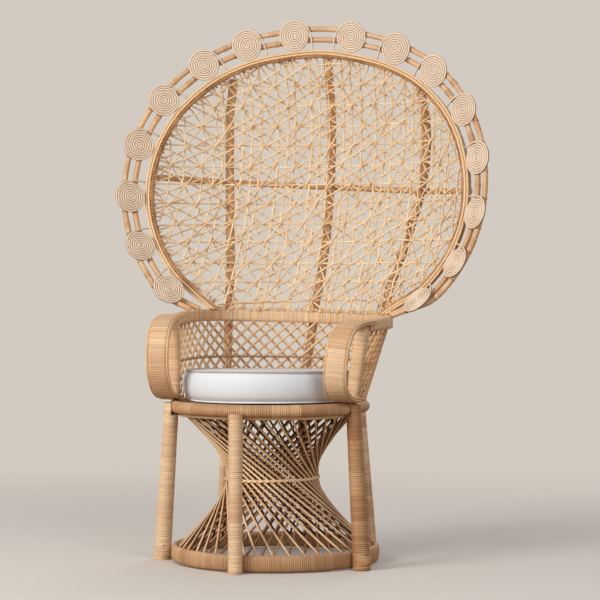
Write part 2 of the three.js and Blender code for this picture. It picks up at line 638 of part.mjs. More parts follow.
function poleHead([x, z]) {
  const hits = crossings(new THREE.Vector3(x, 0, shell.middleZ), up);
  const y = hits[hits.length - 1].point.y - shell.edgeBack + bandBack + hoop.deep / 2 + clearance + pole.radius;
  return new THREE.Vector3(x, y, z);
}
polePiece("back_middle_pole", 180, 180, 0, middlePoleHeights.map((z) => [z, 0]), poleHead(poleHeads.middle));
for (const [side, name] of [[1, "right"], [-1, "left"]]) {
  const footTurn = side > 0 ? pole.rightFoot : -pole.leftFoot;
  polePiece("back_" + name + "_pole", footTurn, side * pole.seatSide, side * pole.railSide,
    sidePoleStations[name].map(([z, x]) => [z, side * x]), poleHead([side * poleHeads[name][0], poleHeads[name][1]]));
}

// Brace across the back of the poles, its ends behind the hoop band
{
  const behindPole = (x) => {
    const point = behindShell(x, brace.height);
    return point.addScaledVector(shellFront(point), -(pole.radius + clearance + brace.radius));
  };
  const end = crossings(new THREE.Vector3(0, 0, brace.height), across).pop().point;
  end.x += hoop.thick / 2;
  end.y += bandBack - shell.edgeBack + hoop.deep / 2 + clearance + brace.radius;
  const line = [mirrored(end), behindPole(-brace.poleSide), behindPole(0), behindPole(brace.poleSide), end];
  const route = new Route(smooth(line, brace.segments).map(leaned), up);
  piece("fan_brace", swept(route, caneSection(brace.radius, brace.sides)), caneBare);
}

const box = new THREE.Box3().setFromObject(chair);
chair.position.set(-(box.min.x + box.max.x) / 2, -(box.min.y + box.max.y) / 2, -box.min.z);

export default chair;
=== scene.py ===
import math
import bpy
import numpy as np
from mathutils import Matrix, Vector


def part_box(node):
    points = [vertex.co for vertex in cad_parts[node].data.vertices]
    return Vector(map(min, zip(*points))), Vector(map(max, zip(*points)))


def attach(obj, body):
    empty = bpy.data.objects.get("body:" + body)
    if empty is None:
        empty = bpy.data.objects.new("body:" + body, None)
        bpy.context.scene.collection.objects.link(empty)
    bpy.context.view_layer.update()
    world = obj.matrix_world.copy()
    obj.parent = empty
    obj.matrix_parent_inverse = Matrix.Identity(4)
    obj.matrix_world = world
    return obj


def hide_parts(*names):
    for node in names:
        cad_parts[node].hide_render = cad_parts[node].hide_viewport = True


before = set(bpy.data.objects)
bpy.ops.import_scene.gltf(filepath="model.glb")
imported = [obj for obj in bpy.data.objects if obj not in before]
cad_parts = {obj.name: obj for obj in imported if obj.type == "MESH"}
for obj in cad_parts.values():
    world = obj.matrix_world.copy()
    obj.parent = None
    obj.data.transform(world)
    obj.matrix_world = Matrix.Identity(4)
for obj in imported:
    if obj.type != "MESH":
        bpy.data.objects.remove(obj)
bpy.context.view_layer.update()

print("frame loaded:", len(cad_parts), "nodes")

# The chair's own measures in millimetres from the middle of the base, the same as the solids have.
# Finished points are moved with the frame's shift and turned to metres when a piece is made.
lean = {"turn": 3.2, "start": 427.5, "full": 625, "barrelShare": 0.45, "fanFrom": 668.5, "fanFull": 745}
baseRing = {"halfWidth": 268, "halfDepth": 278, "side": 9, "middle": -5, "thick": 16, "low": 3, "high": 46}
seatRing = {"halfWidth": 251, "halfDepth": 262, "side": 0, "middle": -32, "radius": 16, "height": 414}
railStations = [
    [267, -68, 636], [275, -20, 638], [280, 40, 641], [279, 95, 643], [268, 148, 645], [250, 190, 645],
    [218, 236, 645], [170, 273, 645], [100, 300, 645], [0, 312, 645],
]
railSize = {"thick": 24, "tall": 32}
rimTop = [0, 281, 1436]
rimStations = [
    [82, 279, 1429], [216, 265, 1398], [332, 240, 1337], [431, 199, 1232], [485, 161, 1102], [493, 136, 955],
    [450, 123, 819], [360, 114, 704],
]
rimTail = [258, 142, 652]
rimFlares = [1, 2, 6, 12, 22, 33, 42, 47, 50, 52]
hoopBand = {"inset": 50, "thick": 9, "deep": 42, "caneRadius": 3.3, "foot": [247, 197, 662.2], "rise": 30,
            "ease": 58, "pitch": 5.0, "ridge": 0.7}
shell = {"middleY": 417, "middleZ": 1030, "power": 2.6, "edgeBack": 24, "within": 0.97,
         "weaveRadius": 2.64}

clearance = 0.3  # between neighbouring solids
octagonFlat = math.cos(math.pi / 8)  # share of an octagon's radius that its flats reach

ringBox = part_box("base_ring")
shift = np.array([(ringBox[0].x + ringBox[1].x) / 2 - baseRing["side"] / 1000,
                  (ringBox[0].y + ringBox[1].y) / 2 - baseRing["middle"] / 1000, 0.0])
draw = np.random.default_rng(41)


# Small vector helpers
def unit(v):
    return v / np.maximum(np.linalg.norm(v, axis=-1, keepdims=True), 1e-12)


def smoothStep(v, low, high):
    t = np.clip((v - low) / (high - low), 0, 1)
    return t * t * (3 - 2 * t)


def leaned(points):  # the upper chair has settled to one side
    p = np.array(points, float)
    rise = np.maximum(p[..., 2] - lean["start"], 0)
    share = (smoothStep(p[..., 2], lean["start"], lean["full"]) * lean["barrelShare"]
             + smoothStep(p[..., 2], lean["fanFrom"], lean["fanFull"]) * (1 - lean["barrelShare"]))
    slope = math.sin(math.radians(lean["turn"]))
    out = p.copy()
    out[..., 0] += rise * slope
    out[..., 2] -= p[..., 0] * slope * share
    return out


def placed(points):  # millimetres in the chair to metres in the frame
    return np.asarray(points, float) * 0.001 + shift


def mirrored(points):
    return np.asarray(points, float) * [-1, 1, 1]


def curveAt(knots, share):  # smooth centripetal curve through the knots
    k = np.asarray(knots, float)
    k = np.vstack([2 * k[0] - k[1], k, 2 * k[-1] - k[-2]])
    n = len(k) - 3
    t = np.clip(np.atleast_1d(np.asarray(share, float)), 0, 1) * n
    i = np.minimum(t.astype(int), n - 1)
    w = (t - i)[:, None]
    a, b, c, d = k[i], k[i + 1], k[i + 2], k[i + 3]
    ab, bc, cd = (np.maximum(np.sqrt(np.linalg.norm(q - p, axis=1)), 1e-2)[:, None]
                  for p, q in ((a, b), (b, c), (c, d)))
    leave = ((b - a) / ab - (c - a) / (ab + bc) + (c - b) / bc) * bc
    reach = ((c - b) / bc - (d - b) / (bc + cd) + (d - c) / cd) * bc
    return ((2 * w**3 - 3 * w**2 + 1) * b + (w**3 - 2 * w**2 + w) * leave
            + (-2 * w**3 + 3 * w**2) * c + (w**3 - w**2) * reach)


def runOf(path):
    return np.concatenate([[0], np.cumsum(np.linalg.norm(np.diff(path, axis=0), axis=1))])


def atRun(path, run, where):
    return np.stack([np.interp(where, run, path[:, i]) for i in range(path.shape[1])], 1)


def paced(path, step=None, count=None):  # evenly spaced points on a path
    path = np.asarray(path, float)
    run = runOf(path)
    if count is None:
        count = max(int(round(run[-1] / step)), 1) + 1
    return atRun(path, run, np.linspace(0, run[-1], count))


def smoothPath(knots, step):
    return paced(curveAt(knots, np.linspace(0, 1, 24 * len(knots))), step)


def onRing(ring, turn, outset=0.0, height=0.0):  # angle from the front toward the right arm
    angle = np.radians(turn)
    outward = unit(np.stack([np.sin(angle) / ring["halfWidth"], -np.cos(angle) / ring["halfDepth"],
                             np.zeros_like(angle)], -1))
    spot = np.stack([ring["side"] + ring["halfWidth"] * np.sin(angle),
                     ring["middle"] - ring["halfDepth"] * np.cos(angle), np.zeros_like(angle) + height], -1)
    return spot + outward * outset


def outwardOf(ring, turn):
    return unit(onRing(ring, turn, 1, 0) - onRing(ring, turn, 0, 0))


# Mesh piles: everything swept for one piece is gathered here before its mesh is made
def newPile():
    return {"points": [], "quads": [], "tris": [], "fibre": [], "tone": [], "shadeAndJoints": [], "count": 0}


def addRings(pile, rings, fibre, tone, shadeAndJoints, closed=False, capPush=0.0):
    n, m, _ = rings.shape
    index = pile["count"] + np.arange(n * m).reshape(n, m)
    beside = np.roll(index, -1, axis=1)
    if closed:
        pairs = (index, beside, np.roll(beside, -1, axis=0), np.roll(index, -1, axis=0))
    else:
        pairs = (index[:-1], beside[:-1], beside[1:], index[1:])
    pile["points"].append(rings.reshape(-1, 3))
    pile["quads"].append(np.stack(pairs, -1).reshape(-1, 4))
    pile["fibre"].append(np.broadcast_to(fibre, (n, m, 3)).reshape(-1, 3))
    pile["tone"].append(np.broadcast_to(tone, (n, m)).reshape(-1))
    pile["shadeAndJoints"].append(np.broadcast_to(shadeAndJoints, (n, m)).reshape(-1))
    pile["count"] += n * m
    if closed:
        return
    for end, inner in ((0, 1), (n - 1, n - 2)):
        centre = rings[end].mean(0)
        outward = unit(centre - rings[inner].mean(0))
        pile["points"].append((centre + outward * capPush)[None])
        tip = pile["count"]
        pile["count"] += 1
        row, nextRow = index[end], beside[end]
        order = (nextRow, row) if end == 0 else (row, nextRow)
        pile["tris"].append(np.stack([np.full(m, tip), *order], -1))
        pile["fibre"].append(np.broadcast_to(fibre, (n, m, 3))[end].mean(0)[None])
        pile["tone"].append(np.array([np.broadcast_to(tone, (n, m))[end].mean()]))
        pile["shadeAndJoints"].append(np.array([np.broadcast_to(shadeAndJoints, (n, m))[end].mean()]))


def framesOf(path, facing=None, closed=False):
    if closed:
        tangent = unit(np.roll(path, -1, 0) - np.roll(path, 1, 0))
    else:
        tangent = unit(np.gradient(path, axis=0))
    if facing is None:
        normal = np.empty_like(path)
        start = np.cross(tangent[0], [0.0, 0.0, 1.0])
        if np.linalg.norm(start) < 0.2:
            start = np.cross(tangent[0], [1.0, 0.0, 0.0])
        normal[0] = start / np.linalg.norm(start)
        for i in range(1, len(path)):
            step = normal[i - 1] - normal[i - 1].dot(tangent[i]) * tangent[i]
            normal[i] = step / np.linalg.norm(step)
    else:
        facing = np.broadcast_to(np.asarray(facing, float), path.shape)
        normal = unit(facing - (facing * tangent).sum(1, keepdims=True) * tangent)
    return tangent, normal, np.cross(tangent, normal)


laid = {"canes": 0}  # each cane takes its own stretch of the grain


def cane(pile, path, radius, sides=8, facing=None, closed=False, tone=None, shadeAndJoints=1.0, flat=1.0, spread=0.14,
         paintedShade=None):
    # one round or flattened cane; flat squeezes it along the facing direction
    # the shade option paints shade onto the cane: darker away from the "front" face or away from "both"
    # faces, and "deep" paints it more sharply
    laid["canes"] += 1
    path = np.asarray(path, float)
    tangent, normal, binormal = framesOf(path, facing, closed)
    radius = np.broadcast_to(np.asarray(radius, float), (len(path),))
    turn = 2 * np.pi * (np.arange(sides) + 0.5) / sides
    ringN = np.cos(turn)[None, :, None] * radius[:, None, None] * flat
    ringB = np.sin(turn)[None, :, None] * radius[:, None, None]
    rings = path[:, None] + ringN * normal[:, None] + ringB * binormal[:, None]
    run = runOf(path)
    fibre = np.empty(rings.shape)
    fibre[..., 0] = run[:, None] * 0.001 + laid["canes"] * 0.737
    fibre[..., 1] = ringN[..., 0] * 0.001
    fibre[..., 2] = ringB[..., 0] * 0.001
    if tone is None:
        tone = 0.5 + draw.normal(0, spread)
    tone = np.clip(np.asarray(tone, float), 0, 1)
    if tone.ndim == 1:
        tone = tone[:, None]
    # painted shade on the cane's sides, passed on in the same mark as seams and joints
    if paintedShade:
        face = np.cos(turn) if paintedShade == "front" else np.abs(np.cos(turn))
        shadeAndJoints = np.clip(face * 1.3 - 0.2 if paintedShade == "deep" else face * 0.85 + 0.3, 0.05, 1)[None]
    addRings(pile, rings, fibre, tone, shadeAndJoints, closed, radius[0] * 0.35)


def roundedOutline(wide, deep, corner, perCorner=4, perSide=2):
    # points and outward directions round a rectangle with round corners; wide runs along the facing direction
    points, outward = [], []
    for quarter in range(4):
        sx, sy = ((1, 1), (-1, 1), (-1, -1), (1, -1))[quarter]
        centre = np.array([sx * (wide / 2 - corner), sy * (deep / 2 - corner)])
        for k in range(perCorner + 1):
            a = math.radians(90 * (quarter + k / perCorner))
            points.append(centre + corner * np.array([math.cos(a), math.sin(a)]))
            outward.append([math.cos(a), math.sin(a)])
    corners = np.array(points)
    facing = np.array(outward)
    full, fullOut = [], []
    for i in range(len(corners)):
        full.append(corners[i])
        fullOut.append(facing[i])
        if (i + 1) % (perCorner + 1) == 0:
            nextPoint = corners[(i + 1) % len(corners)]
            for k in range(1, perSide):
                full.append(corners[i] + (nextPoint - corners[i]) * k / perSide)
                fullOut.append(facing[i])
    return np.array(full), np.array(fullOut)


def ovalOutline(wide, deep, power=2.4, sides=24):  # a full section, flatter than an ellipse on its faces
    a = 2 * np.pi * (np.arange(sides) + 0.5) / sides
    across, over = np.cos(a), np.sin(a)
    points = np.stack([np.sign(across) * np.abs(across) ** (2 / power) * wide / 2,
                       np.sign(over) * np.abs(over) ** (2 / power) * deep / 2], 1)
    along = np.roll(points, -1, 0) - np.roll(points, 1, 0)
    return points, unit(np.stack([along[:, 1], -along[:, 0]], 1))


def roundOutline(radius, sides=18):
    a = 2 * np.pi * np.arange(sides) / sides
    ring = np.stack([np.cos(a), np.sin(a)], 1)
    return ring * radius, ring


def stripTones(count, spread=0.17, jitter=0.09, runs=(5, 22)):  # each strip of cane covers several turns
    tones = np.empty(count)
    at = 0
    while at < count:
        length = int(draw.integers(*runs))
        tones[at:at + length] = 0.5 + draw.normal(0, spread)
        at += length
    return np.clip(tones + draw.normal(0, jitter, count), 0.02, 0.98)


def wrapped(pile, path, outline, facing, pitch, ridge, closed=False, tilt=0.45, scale=None, pale=0.0,
            spread=0.17):
    # a core bound with flat cane, each turn a low ridge of its own
    points, outward = outline
    tangent, normal, _ = framesOf(path, facing, closed)
    line = np.vstack([path, path[:1]]) if closed else path
    if closed:
        tangent = np.vstack([tangent, tangent[:1]])
        normal = np.vstack([normal, normal[:1]])
    run = runOf(line)
    count = max(int(round(run[-1] / pitch)), 1)
    widths = 1 + draw.uniform(-0.16, 0.16, count)
    edges = np.concatenate([[0], np.cumsum(widths)]) * run[-1] / widths.sum()
    shares = np.array([0, 0.2, 0.5, 0.8])
    heights = np.array([0, 0.8, 1, 0.8])
    where = (edges[:-1, None] + np.diff(edges)[:, None] * shares).ravel()
    height = np.tile(heights, count)
    height[::4] = np.clip(draw.normal(0.12, 0.2, count), 0, 0.6)
    turnIndex = np.repeat(np.arange(count), 4)
    if not closed:
        where = np.append(where, run[-1])
        height = np.append(height, 0)
        turnIndex = np.append(turnIndex, count - 1)
    lift = np.clip(draw.normal(0, 0.16, count), -0.3, 0.3)
    slow = np.convolve(draw.normal(0, 1, count + 16), np.ones(17) / 17, "same")[8:count + 8] * 2.2
    if closed:
        slow *= np.sin(np.pi * (np.arange(count) + 0.5) / count)
    slant = tilt * (slow + draw.normal(0, 0.16, count))
    tones = np.clip(stripTones(count, spread) + pale, 0.02, 0.98)
    centre = atRun(line, run, where)
    along = unit(atRun(tangent, run, where))
    side = unit(atRun(normal, run, where))
    side = unit(side - (side * along).sum(1, keepdims=True) * along)
    over = np.cross(along, side)
    proud = (height - 1) * ridge + lift[turnIndex] * height
    flat = points[None] + outward[None] * proud[:, None, None]
    if scale is not None:
        flat = flat * np.interp(where / run[-1], scale[0], scale[1])[:, None, None]
    aim = np.arctan2(points[:, 1], points[:, 0])
    nudge = slant[turnIndex][:, None] * np.sin(aim + 0.6)[None] * 2.0
    rings = (centre[:, None] + flat[..., :1] * side[:, None] + flat[..., 1:] * over[:, None]
             + nudge[..., None] * along[:, None])
    arc = np.concatenate([[0], np.cumsum(np.linalg.norm(np.diff(points, axis=0), axis=1))])
    fibre = np.empty(rings.shape)
    fibre[..., 0] = arc[None] * 0.001 + (turnIndex * 0.213)[:, None]
    fibre[..., 1] = where[:, None] * 0.001
    fibre[..., 2] = (turnIndex * 0.0137)[:, None]
    # each turn's height is passed on as the mark for painted shade, so the seams between turns are painted
    # darker
    addRings(pile, rings, fibre, tones[turnIndex][:, None], height[:, None], closed, 1.0)


def finishPiece(name, pile, material, nodes):
    mesh = bpy.data.meshes.new(name)
    points = placed(np.concatenate(pile["points"]))
    points[:, 2] = np.maximum(points[:, 2], 0.0002)  # feet stand flat on the floor
    quads = np.concatenate(pile["quads"]) if pile["quads"] else np.empty((0, 4), int)
    tris = np.concatenate(pile["tris"]) if pile["tris"] else np.empty((0, 3), int)
    corners = np.concatenate([quads.ravel(), tris.ravel()]).astype(np.int32)
    starts = np.concatenate([np.arange(len(quads)) * 4, len(quads) * 4 + np.arange(len(tris)) * 3])
    mesh.vertices.add(len(points))
    mesh.vertices.foreach_set("co", points.ravel())
    mesh.loops.add(len(corners))
    mesh.polygons.add(len(starts))
    mesh.polygons.foreach_set("loop_start", starts.astype(np.int32))
    mesh.polygons.foreach_set("vertices", corners)
    mesh.polygons.foreach_set("use_smooth", np.full(len(starts), True))
    mesh.update(calc_edges=True)
    for label, kind, key in (("fibre", "FLOAT_VECTOR", "vector"), ("tone", "FLOAT", "value"),
                             ("shadeAndJoints", "FLOAT", "value")):
        layer = mesh.attributes.new(label, kind, "POINT")
        layer.data.foreach_set(key, np.concatenate(pile[label]).astype(np.float32).ravel())
    mesh.materials.append(material)
    piece = bpy.data.objects.new(name, mesh)
    bpy.context.collection.objects.link(piece)
    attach(piece, "root")
    if nodes:
        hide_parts(*nodes)


# Colours are given as they look on screen
def tint(red, green, blue):
    def linear(v):
        v /= 255
        return v / 12.92 if v <= 0.04045 else ((v + 0.055) / 1.055) ** 2.4
    return (linear(red), linear(green), linear(blue), 1.0)


socketKinds = {"value": "NodeSocketFloat", "colour": "NodeSocketColor", "vector": "NodeSocketVector"}


def newGroup(name, inputs, outputs):
    group = bpy.data.node_groups.new(name, "ShaderNodeTree")
    for label, kind, default in inputs:
        socket = group.interface.new_socket(name=label, in_out="INPUT", socket_type=socketKinds[kind])
        if default is not None:
            socket.default_value = default
    for label, kind in outputs:
        group.interface.new_socket(name=label, in_out="OUTPUT", socket_type=socketKinds[kind])
    group.nodes.new("NodeGroupOutput")
    return group, group.nodes.new("NodeGroupInput").outputs


def setSockets(node, values):
    for key, value in values.items():
        socket = node.inputs[key]
        if hasattr(value, "is_output") and value.is_output:
            node.id_data.links.new(value, socket)
        else:
            socket.default_value = value


def maths(tree, operation, a, b=None, clamp=False):
    node = tree.nodes.new("ShaderNodeMath")
    node.operation = operation
    node.use_clamp = clamp
    setSockets(node, {0: a} if b is None else {0: a, 1: b})
    return node.outputs[0]


def noise(tree, vector, scale, detail=2.0, rough=0.55):
    node = tree.nodes.new("ShaderNodeTexNoise")
    setSockets(node, {"Vector": vector, "Scale": scale, "Detail": detail, "Roughness": rough})
    return node.outputs["Fac"]


def stretched(tree, vector, scale):
    node = tree.nodes.new("ShaderNodeVectorMath")
    node.operation = "MULTIPLY"
    setSockets(node, {0: vector, 1: scale})
    return node.outputs[0]


def ranged(tree, value, low, high, toLow=0.0, toHigh=1.0, smooth=False):
    node = tree.nodes.new("ShaderNodeMapRange")
    node.interpolation_type = "SMOOTHSTEP" if smooth else "LINEAR"
    setSockets(node, {"Value": value, "From Min": low, "From Max": high, "To Min": toLow, "To Max": toHigh})
    return node.outputs["Result"]


def blended(tree, share, a, b, kind="MIX"):
    node = tree.nodes.new("ShaderNodeMix")
    node.data_type = "RGBA"
    node.blend_type = kind
    setSockets(node, {0: share, 6: a, 7: b})
    return node.outputs[2]


# Fibre streaks, blotches and small dark specks of one cane or strip
def caneGrainGroup():
    group, given = newGroup(
        "Cane grain",
        [("Fibre", "vector", None), ("Tone", "value", 0.5), ("Pale", "colour", None),
         ("Deep", "colour", None), ("Speck Colour", "colour", None), ("Streaks", "value", 0.5),
         ("Specks", "value", 0.3), ("Blush", "value", 0.2)],
        [("Colour", "colour"), ("Roughness", "value"), ("Height", "value")])
    streak = noise(group, stretched(group, given["Fibre"], (26, 1150, 1150)), 1.0, 3.0, 0.6)
    patch = noise(group, stretched(group, given["Fibre"], (9, 60, 60)), 1.0, 2.0)
    speck = noise(group, stretched(group, given["Fibre"], (70, 210, 210)), 1.0, 1.0)
    offset = maths(group, "MULTIPLY", maths(group, "SUBTRACT", streak, 0.5), given["Streaks"])
    wander = maths(group, "MULTIPLY", maths(group, "SUBTRACT", patch, 0.5), 0.75)
    share = maths(group, "ADD", maths(group, "ADD", given["Tone"], offset), wander, clamp=True)
    plain = blended(group, share, given["Deep"], given["Pale"])
    rosy = blended(group, 1.0, plain, tint(255, 214, 196), "MULTIPLY")
    blushMask = maths(group, "MULTIPLY", ranged(group, patch, 0.56, 0.72, smooth=True), given["Blush"])
    warm = blended(group, blushMask, plain, rosy)
    speckMask = maths(group, "MULTIPLY", ranged(group, speck, 0.7, 0.78, smooth=True), given["Specks"],
                      clamp=True)
    setSockets(group.nodes["Group Output"], {
        "Colour": blended(group, speckMask, warm, given["Speck Colour"]),
        "Roughness": ranged(group, streak, 0.3, 0.7, 0.42, 0.6),
        "Height": streak,
    })
    return group


# Painted shade toward the shade colour where the mark is low: down in the seam between two turns and on the
# shaded sides of canes; the real dark joints of poles and rings darken here too
def paintedSeamShadeGroup():
    group, given = newGroup(
        "Wrap seam",
        [("Colour", "colour", None), ("Seam", "value", 1.0), ("Shade", "colour", None),
         ("Depth", "value", 0.8)],
        [("Colour", "colour"), ("Mask", "value")])
    dark = ranged(group, given["Seam"], 0.72, 0.1, smooth=True)
    mask = maths(group, "MULTIPLY", dark, given["Depth"], clamp=True)
    setSockets(group.nodes["Group Output"], {
        "Colour": blended(group, mask, given["Colour"], given["Shade"]), "Mask": mask})
    return group


# Wear where hands and feet rub: paler and smoother in patches on the crests
def wearGroup():
    group, given = newGroup(
        "Crest wear",
        [("Colour", "colour", None), ("Roughness", "value", 0.5), ("Seam", "value", 1.0),
         ("Amount", "value", 0.3), ("Worn", "colour", None)],
        [("Colour", "colour"), ("Roughness", "value")])
    coords = group.nodes.new("ShaderNodeTexCoord")
    patch = noise(group, coords.outputs["Object"], 17.0, 3.0)
    crest = ranged(group, given["Seam"], 0.86, 1.0)
    rubbed = maths(group, "MULTIPLY", ranged(group, patch, 0.5, 0.68, smooth=True), crest)
    mask = maths(group, "MULTIPLY", rubbed, given["Amount"], clamp=True)
    setSockets(group.nodes["Group Output"], {
        "Colour": blended(group, mask, given["Colour"], given["Worn"]),
        "Roughness": maths(group, "SUBTRACT", given["Roughness"], maths(group, "MULTIPLY", mask, 0.15))})
    return group


# Fine dust lying on what faces up
def dustGroup():
    group, given = newGroup(
        "Resting dust",
        [("Colour", "colour", None), ("Amount", "value", 0.2), ("Dust", "colour", tint(214, 203, 188))],
        [("Colour", "colour")])
    form = group.nodes.new("ShaderNodeNewGeometry")
    split = group.nodes.new("ShaderNodeSeparateXYZ")
    group.links.new(form.outputs["Normal"], split.inputs[0])
    coords = group.nodes.new("ShaderNodeTexCoord")
    cloud = ranged(group, noise(group, coords.outputs["Object"], 60.0, 3.0), 0.35, 0.65)
    lying = ranged(group, split.outputs["Z"], 0.55, 0.98, smooth=True)
    mask = maths(group, "MULTIPLY", maths(group, "MULTIPLY", cloud, lying), given["Amount"], clamp=True)
    setSockets(group.nodes["Group Output"], {"Colour": blended(group, mask, given["Colour"], given["Dust"])})
    return group


# Plain weave of the cushion cover: crossing threads with slubs, painted shade where the weave lies low
# between threads, and a random mottle
def linenGroup():
    group, given = newGroup(
        "Linen weave",
        [("Pale", "colour", None), ("Shade", "colour", None), ("Threads", "value", 1500.0),
         ("Slubs", "value", 0.4)],
        [("Colour", "colour"), ("Height", "value"), ("Roughness", "value")])
    coords = group.nodes.new("ShaderNodeTexCoord")
    place = coords.outputs["Object"]
    waves = []
    for direction in ("X", "Y", "Z"):
        wave = group.nodes.new("ShaderNodeTexWave")
        wave.bands_direction = direction
        setSockets(wave, {"Vector": place, "Scale": maths(group, "MULTIPLY", given["Threads"], 0.159),
                          "Distortion": 1.2, "Detail": 1.0})
        waves.append(wave.outputs["Fac"])
    form = group.nodes.new("ShaderNodeNewGeometry")
    split = group.nodes.new("ShaderNodeSeparateXYZ")
    group.links.new(form.outputs["Normal"], split.inputs[0])
    upward = ranged(group, maths(group, "ABSOLUTE", split.outputs["Z"]), 0.5, 0.75)
    flatWeave = maths(group, "MULTIPLY", waves[0], waves[1])
    wallWeave = maths(group, "MULTIPLY", maths(group, "MAXIMUM", waves[0], waves[1]), waves[2])
    mixer = group.nodes.new("ShaderNodeMix")
    setSockets(mixer, {0: upward, 2: wallWeave, 3: flatWeave})
    weave = mixer.outputs[0]
    slub = noise(group, stretched(group, place, (90, 90, 1400)), 1.0, 3.0)
    fuzz = noise(group, place, 900.0, 3.0)
    cloud = noise(group, place, 9.0, 3.0)
    height = maths(group, "ADD", maths(group, "MULTIPLY", weave, 0.6),
                   maths(group, "MULTIPLY", slub, given["Slubs"]))
    # painted shade: colour goes toward Shade where the weave lies low, between threads, with a random cloud
    # on top
    share = maths(group, "ADD", maths(group, "MULTIPLY", height, 0.55), maths(group, "MULTIPLY", cloud, 0.5),
                  clamp=True)
    setSockets(group.nodes["Group Output"], {
        "Colour": blended(group, share, given["Shade"], given["Pale"]),
        "Height": maths(group, "ADD", height, maths(group, "MULTIPLY", fuzz, 0.3)),
        "Roughness": ranged(group, fuzz, 0.3, 0.7, 0.82, 0.95)})
    return group


caneGrain, paintedSeamShade, crestWear, restingDust, linenWeave = (
    caneGrainGroup(), paintedSeamShadeGroup(), wearGroup(), dustGroup(), linenGroup())


def attribute(tree, label):
    node = tree.nodes.new("ShaderNodeAttribute")
    node.attribute_name = label
    return node.outputs["Vector" if label == "fibre" else "Fac"]


def useGroup(tree, group, values):
    node = tree.nodes.new("ShaderNodeGroup")
    node.node_tree = group
    setSockets(node, values)
    return node.outputs


def caneMaterial(name, look):
    material = bpy.data.materials.new(name)
    material.use_nodes = True
    tree = material.node_tree
    shader = tree.nodes["Principled BSDF"]
    shadeAndJoints = attribute(tree, "shadeAndJoints")
    grain = useGroup(tree, caneGrain, {
        "Fibre": attribute(tree, "fibre"), "Tone": attribute(tree, "tone"), "Pale": tint(*look["pale"]),
        "Deep": tint(*look["deep"]), "Speck Colour": tint(*look.get("speck", (92, 58, 36))),
        "Streaks": look.get("streaks", 0.6), "Specks": look.get("specks", 0.3),
        "Blush": look.get("blush", 0.3)})
    # painted shade in the seams and on cane sides, and the real dark joints, all toward the look's shade
    # colour
    paintedShade = useGroup(tree, paintedSeamShade, {
        "Colour": grain["Colour"], "Seam": shadeAndJoints, "Shade": tint(*look.get("shade", (104, 66, 38))),
        "Depth": look.get("depth", 0.85)})
    worn = useGroup(tree, crestWear, {
        "Colour": paintedShade["Colour"], "Roughness": grain["Roughness"], "Seam": shadeAndJoints,
        "Amount": look.get("wear", 0.35), "Worn": tint(*look.get("worn", (248, 222, 180)))})
    dusty = useGroup(tree, restingDust, {"Colour": worn["Colour"], "Amount": look.get("dust", 0.12)})
    bump = tree.nodes.new("ShaderNodeBump")
    setSockets(bump, {"Height": grain["Height"], "Strength": look.get("bump", 0.35), "Distance": 0.0006})
    setSockets(shader, {"Base Color": dusty["Colour"], "Roughness": worn["Roughness"],
                        "Normal": bump.outputs[0], "Specular IOR Level": look.get("gloss", 0.4)})
    return material


def clothMaterial(name, look):
    material = bpy.data.materials.new(name)
    material.use_nodes = True
    tree = material.node_tree
    shader = tree.nodes["Principled BSDF"]
    weave = useGroup(tree, linenWeave, {"Pale": tint(*look["pale"]), "Shade": tint(*look["shade"]),
                                        "Threads": look["threads"], "Slubs": look["slubs"]})
    bump = tree.nodes.new("ShaderNodeBump")
    setSockets(bump, {"Height": weave["Height"], "Strength": look["bump"], "Distance": 0.0005})
    setSockets(shader, {"Base Color": weave["Colour"], "Roughness": weave["Roughness"],
                        "Normal": bump.outputs[0], "Specular IOR Level": 0.2, "Sheen Weight": 0.12})
    return material


# In each cane look, shade is the colour of painted shade, which the real dark joints also take
paleCane = caneMaterial("Pale cane", {
    "pale": (250, 216, 170), "deep": (198, 148, 100), "shade": (124, 72, 36), "specks": 0.4, "wear": 0.2})
# The coiled cane takes its painted shade at full depth, dark in the grooves between turns
coilCane = caneMaterial("Coiled cane", {
    "pale": (242, 222, 198), "deep": (224, 198, 168), "shade": (112, 76, 48), "specks": 0.06, "wear": 0.1,
    "streaks": 0.05, "depth": 1.0, "bump": 0.05})
weaveCane = caneMaterial("Weave cane", {
    "pale": (252, 228, 186), "deep": (216, 162, 106), "shade": (150, 100, 60), "specks": 0.45, "wear": 0.1,
    "streaks": 0.3, "depth": 0.4})
wrapCane = caneMaterial("Wrapped cane", {
    "pale": (248, 216, 174), "deep": (202, 158, 116), "shade": (122, 82, 50), "specks": 0.4,
    "streaks": 0.3, "depth": 0.72, "blush": 0.5})
# A darker copy of the wrapped cane: painted shade for the low base and seat rings
shadedRingCane = caneMaterial("Ring cane", {
    "pale": (230, 192, 146), "deep": (184, 138, 96), "shade": (96, 60, 34), "specks": 0.4,
    "streaks": 0.3, "depth": 0.85, "blush": 0.5})
# A darker copy of the wrapped cane: painted shadow on the right front leg
paintedShadowCane = caneMaterial("Shaded cane", {
    "pale": (210, 164, 114), "deep": (168, 120, 76), "shade": (84, 50, 26), "specks": 0.4,
    "streaks": 0.3, "depth": 0.85, "blush": 0.4})
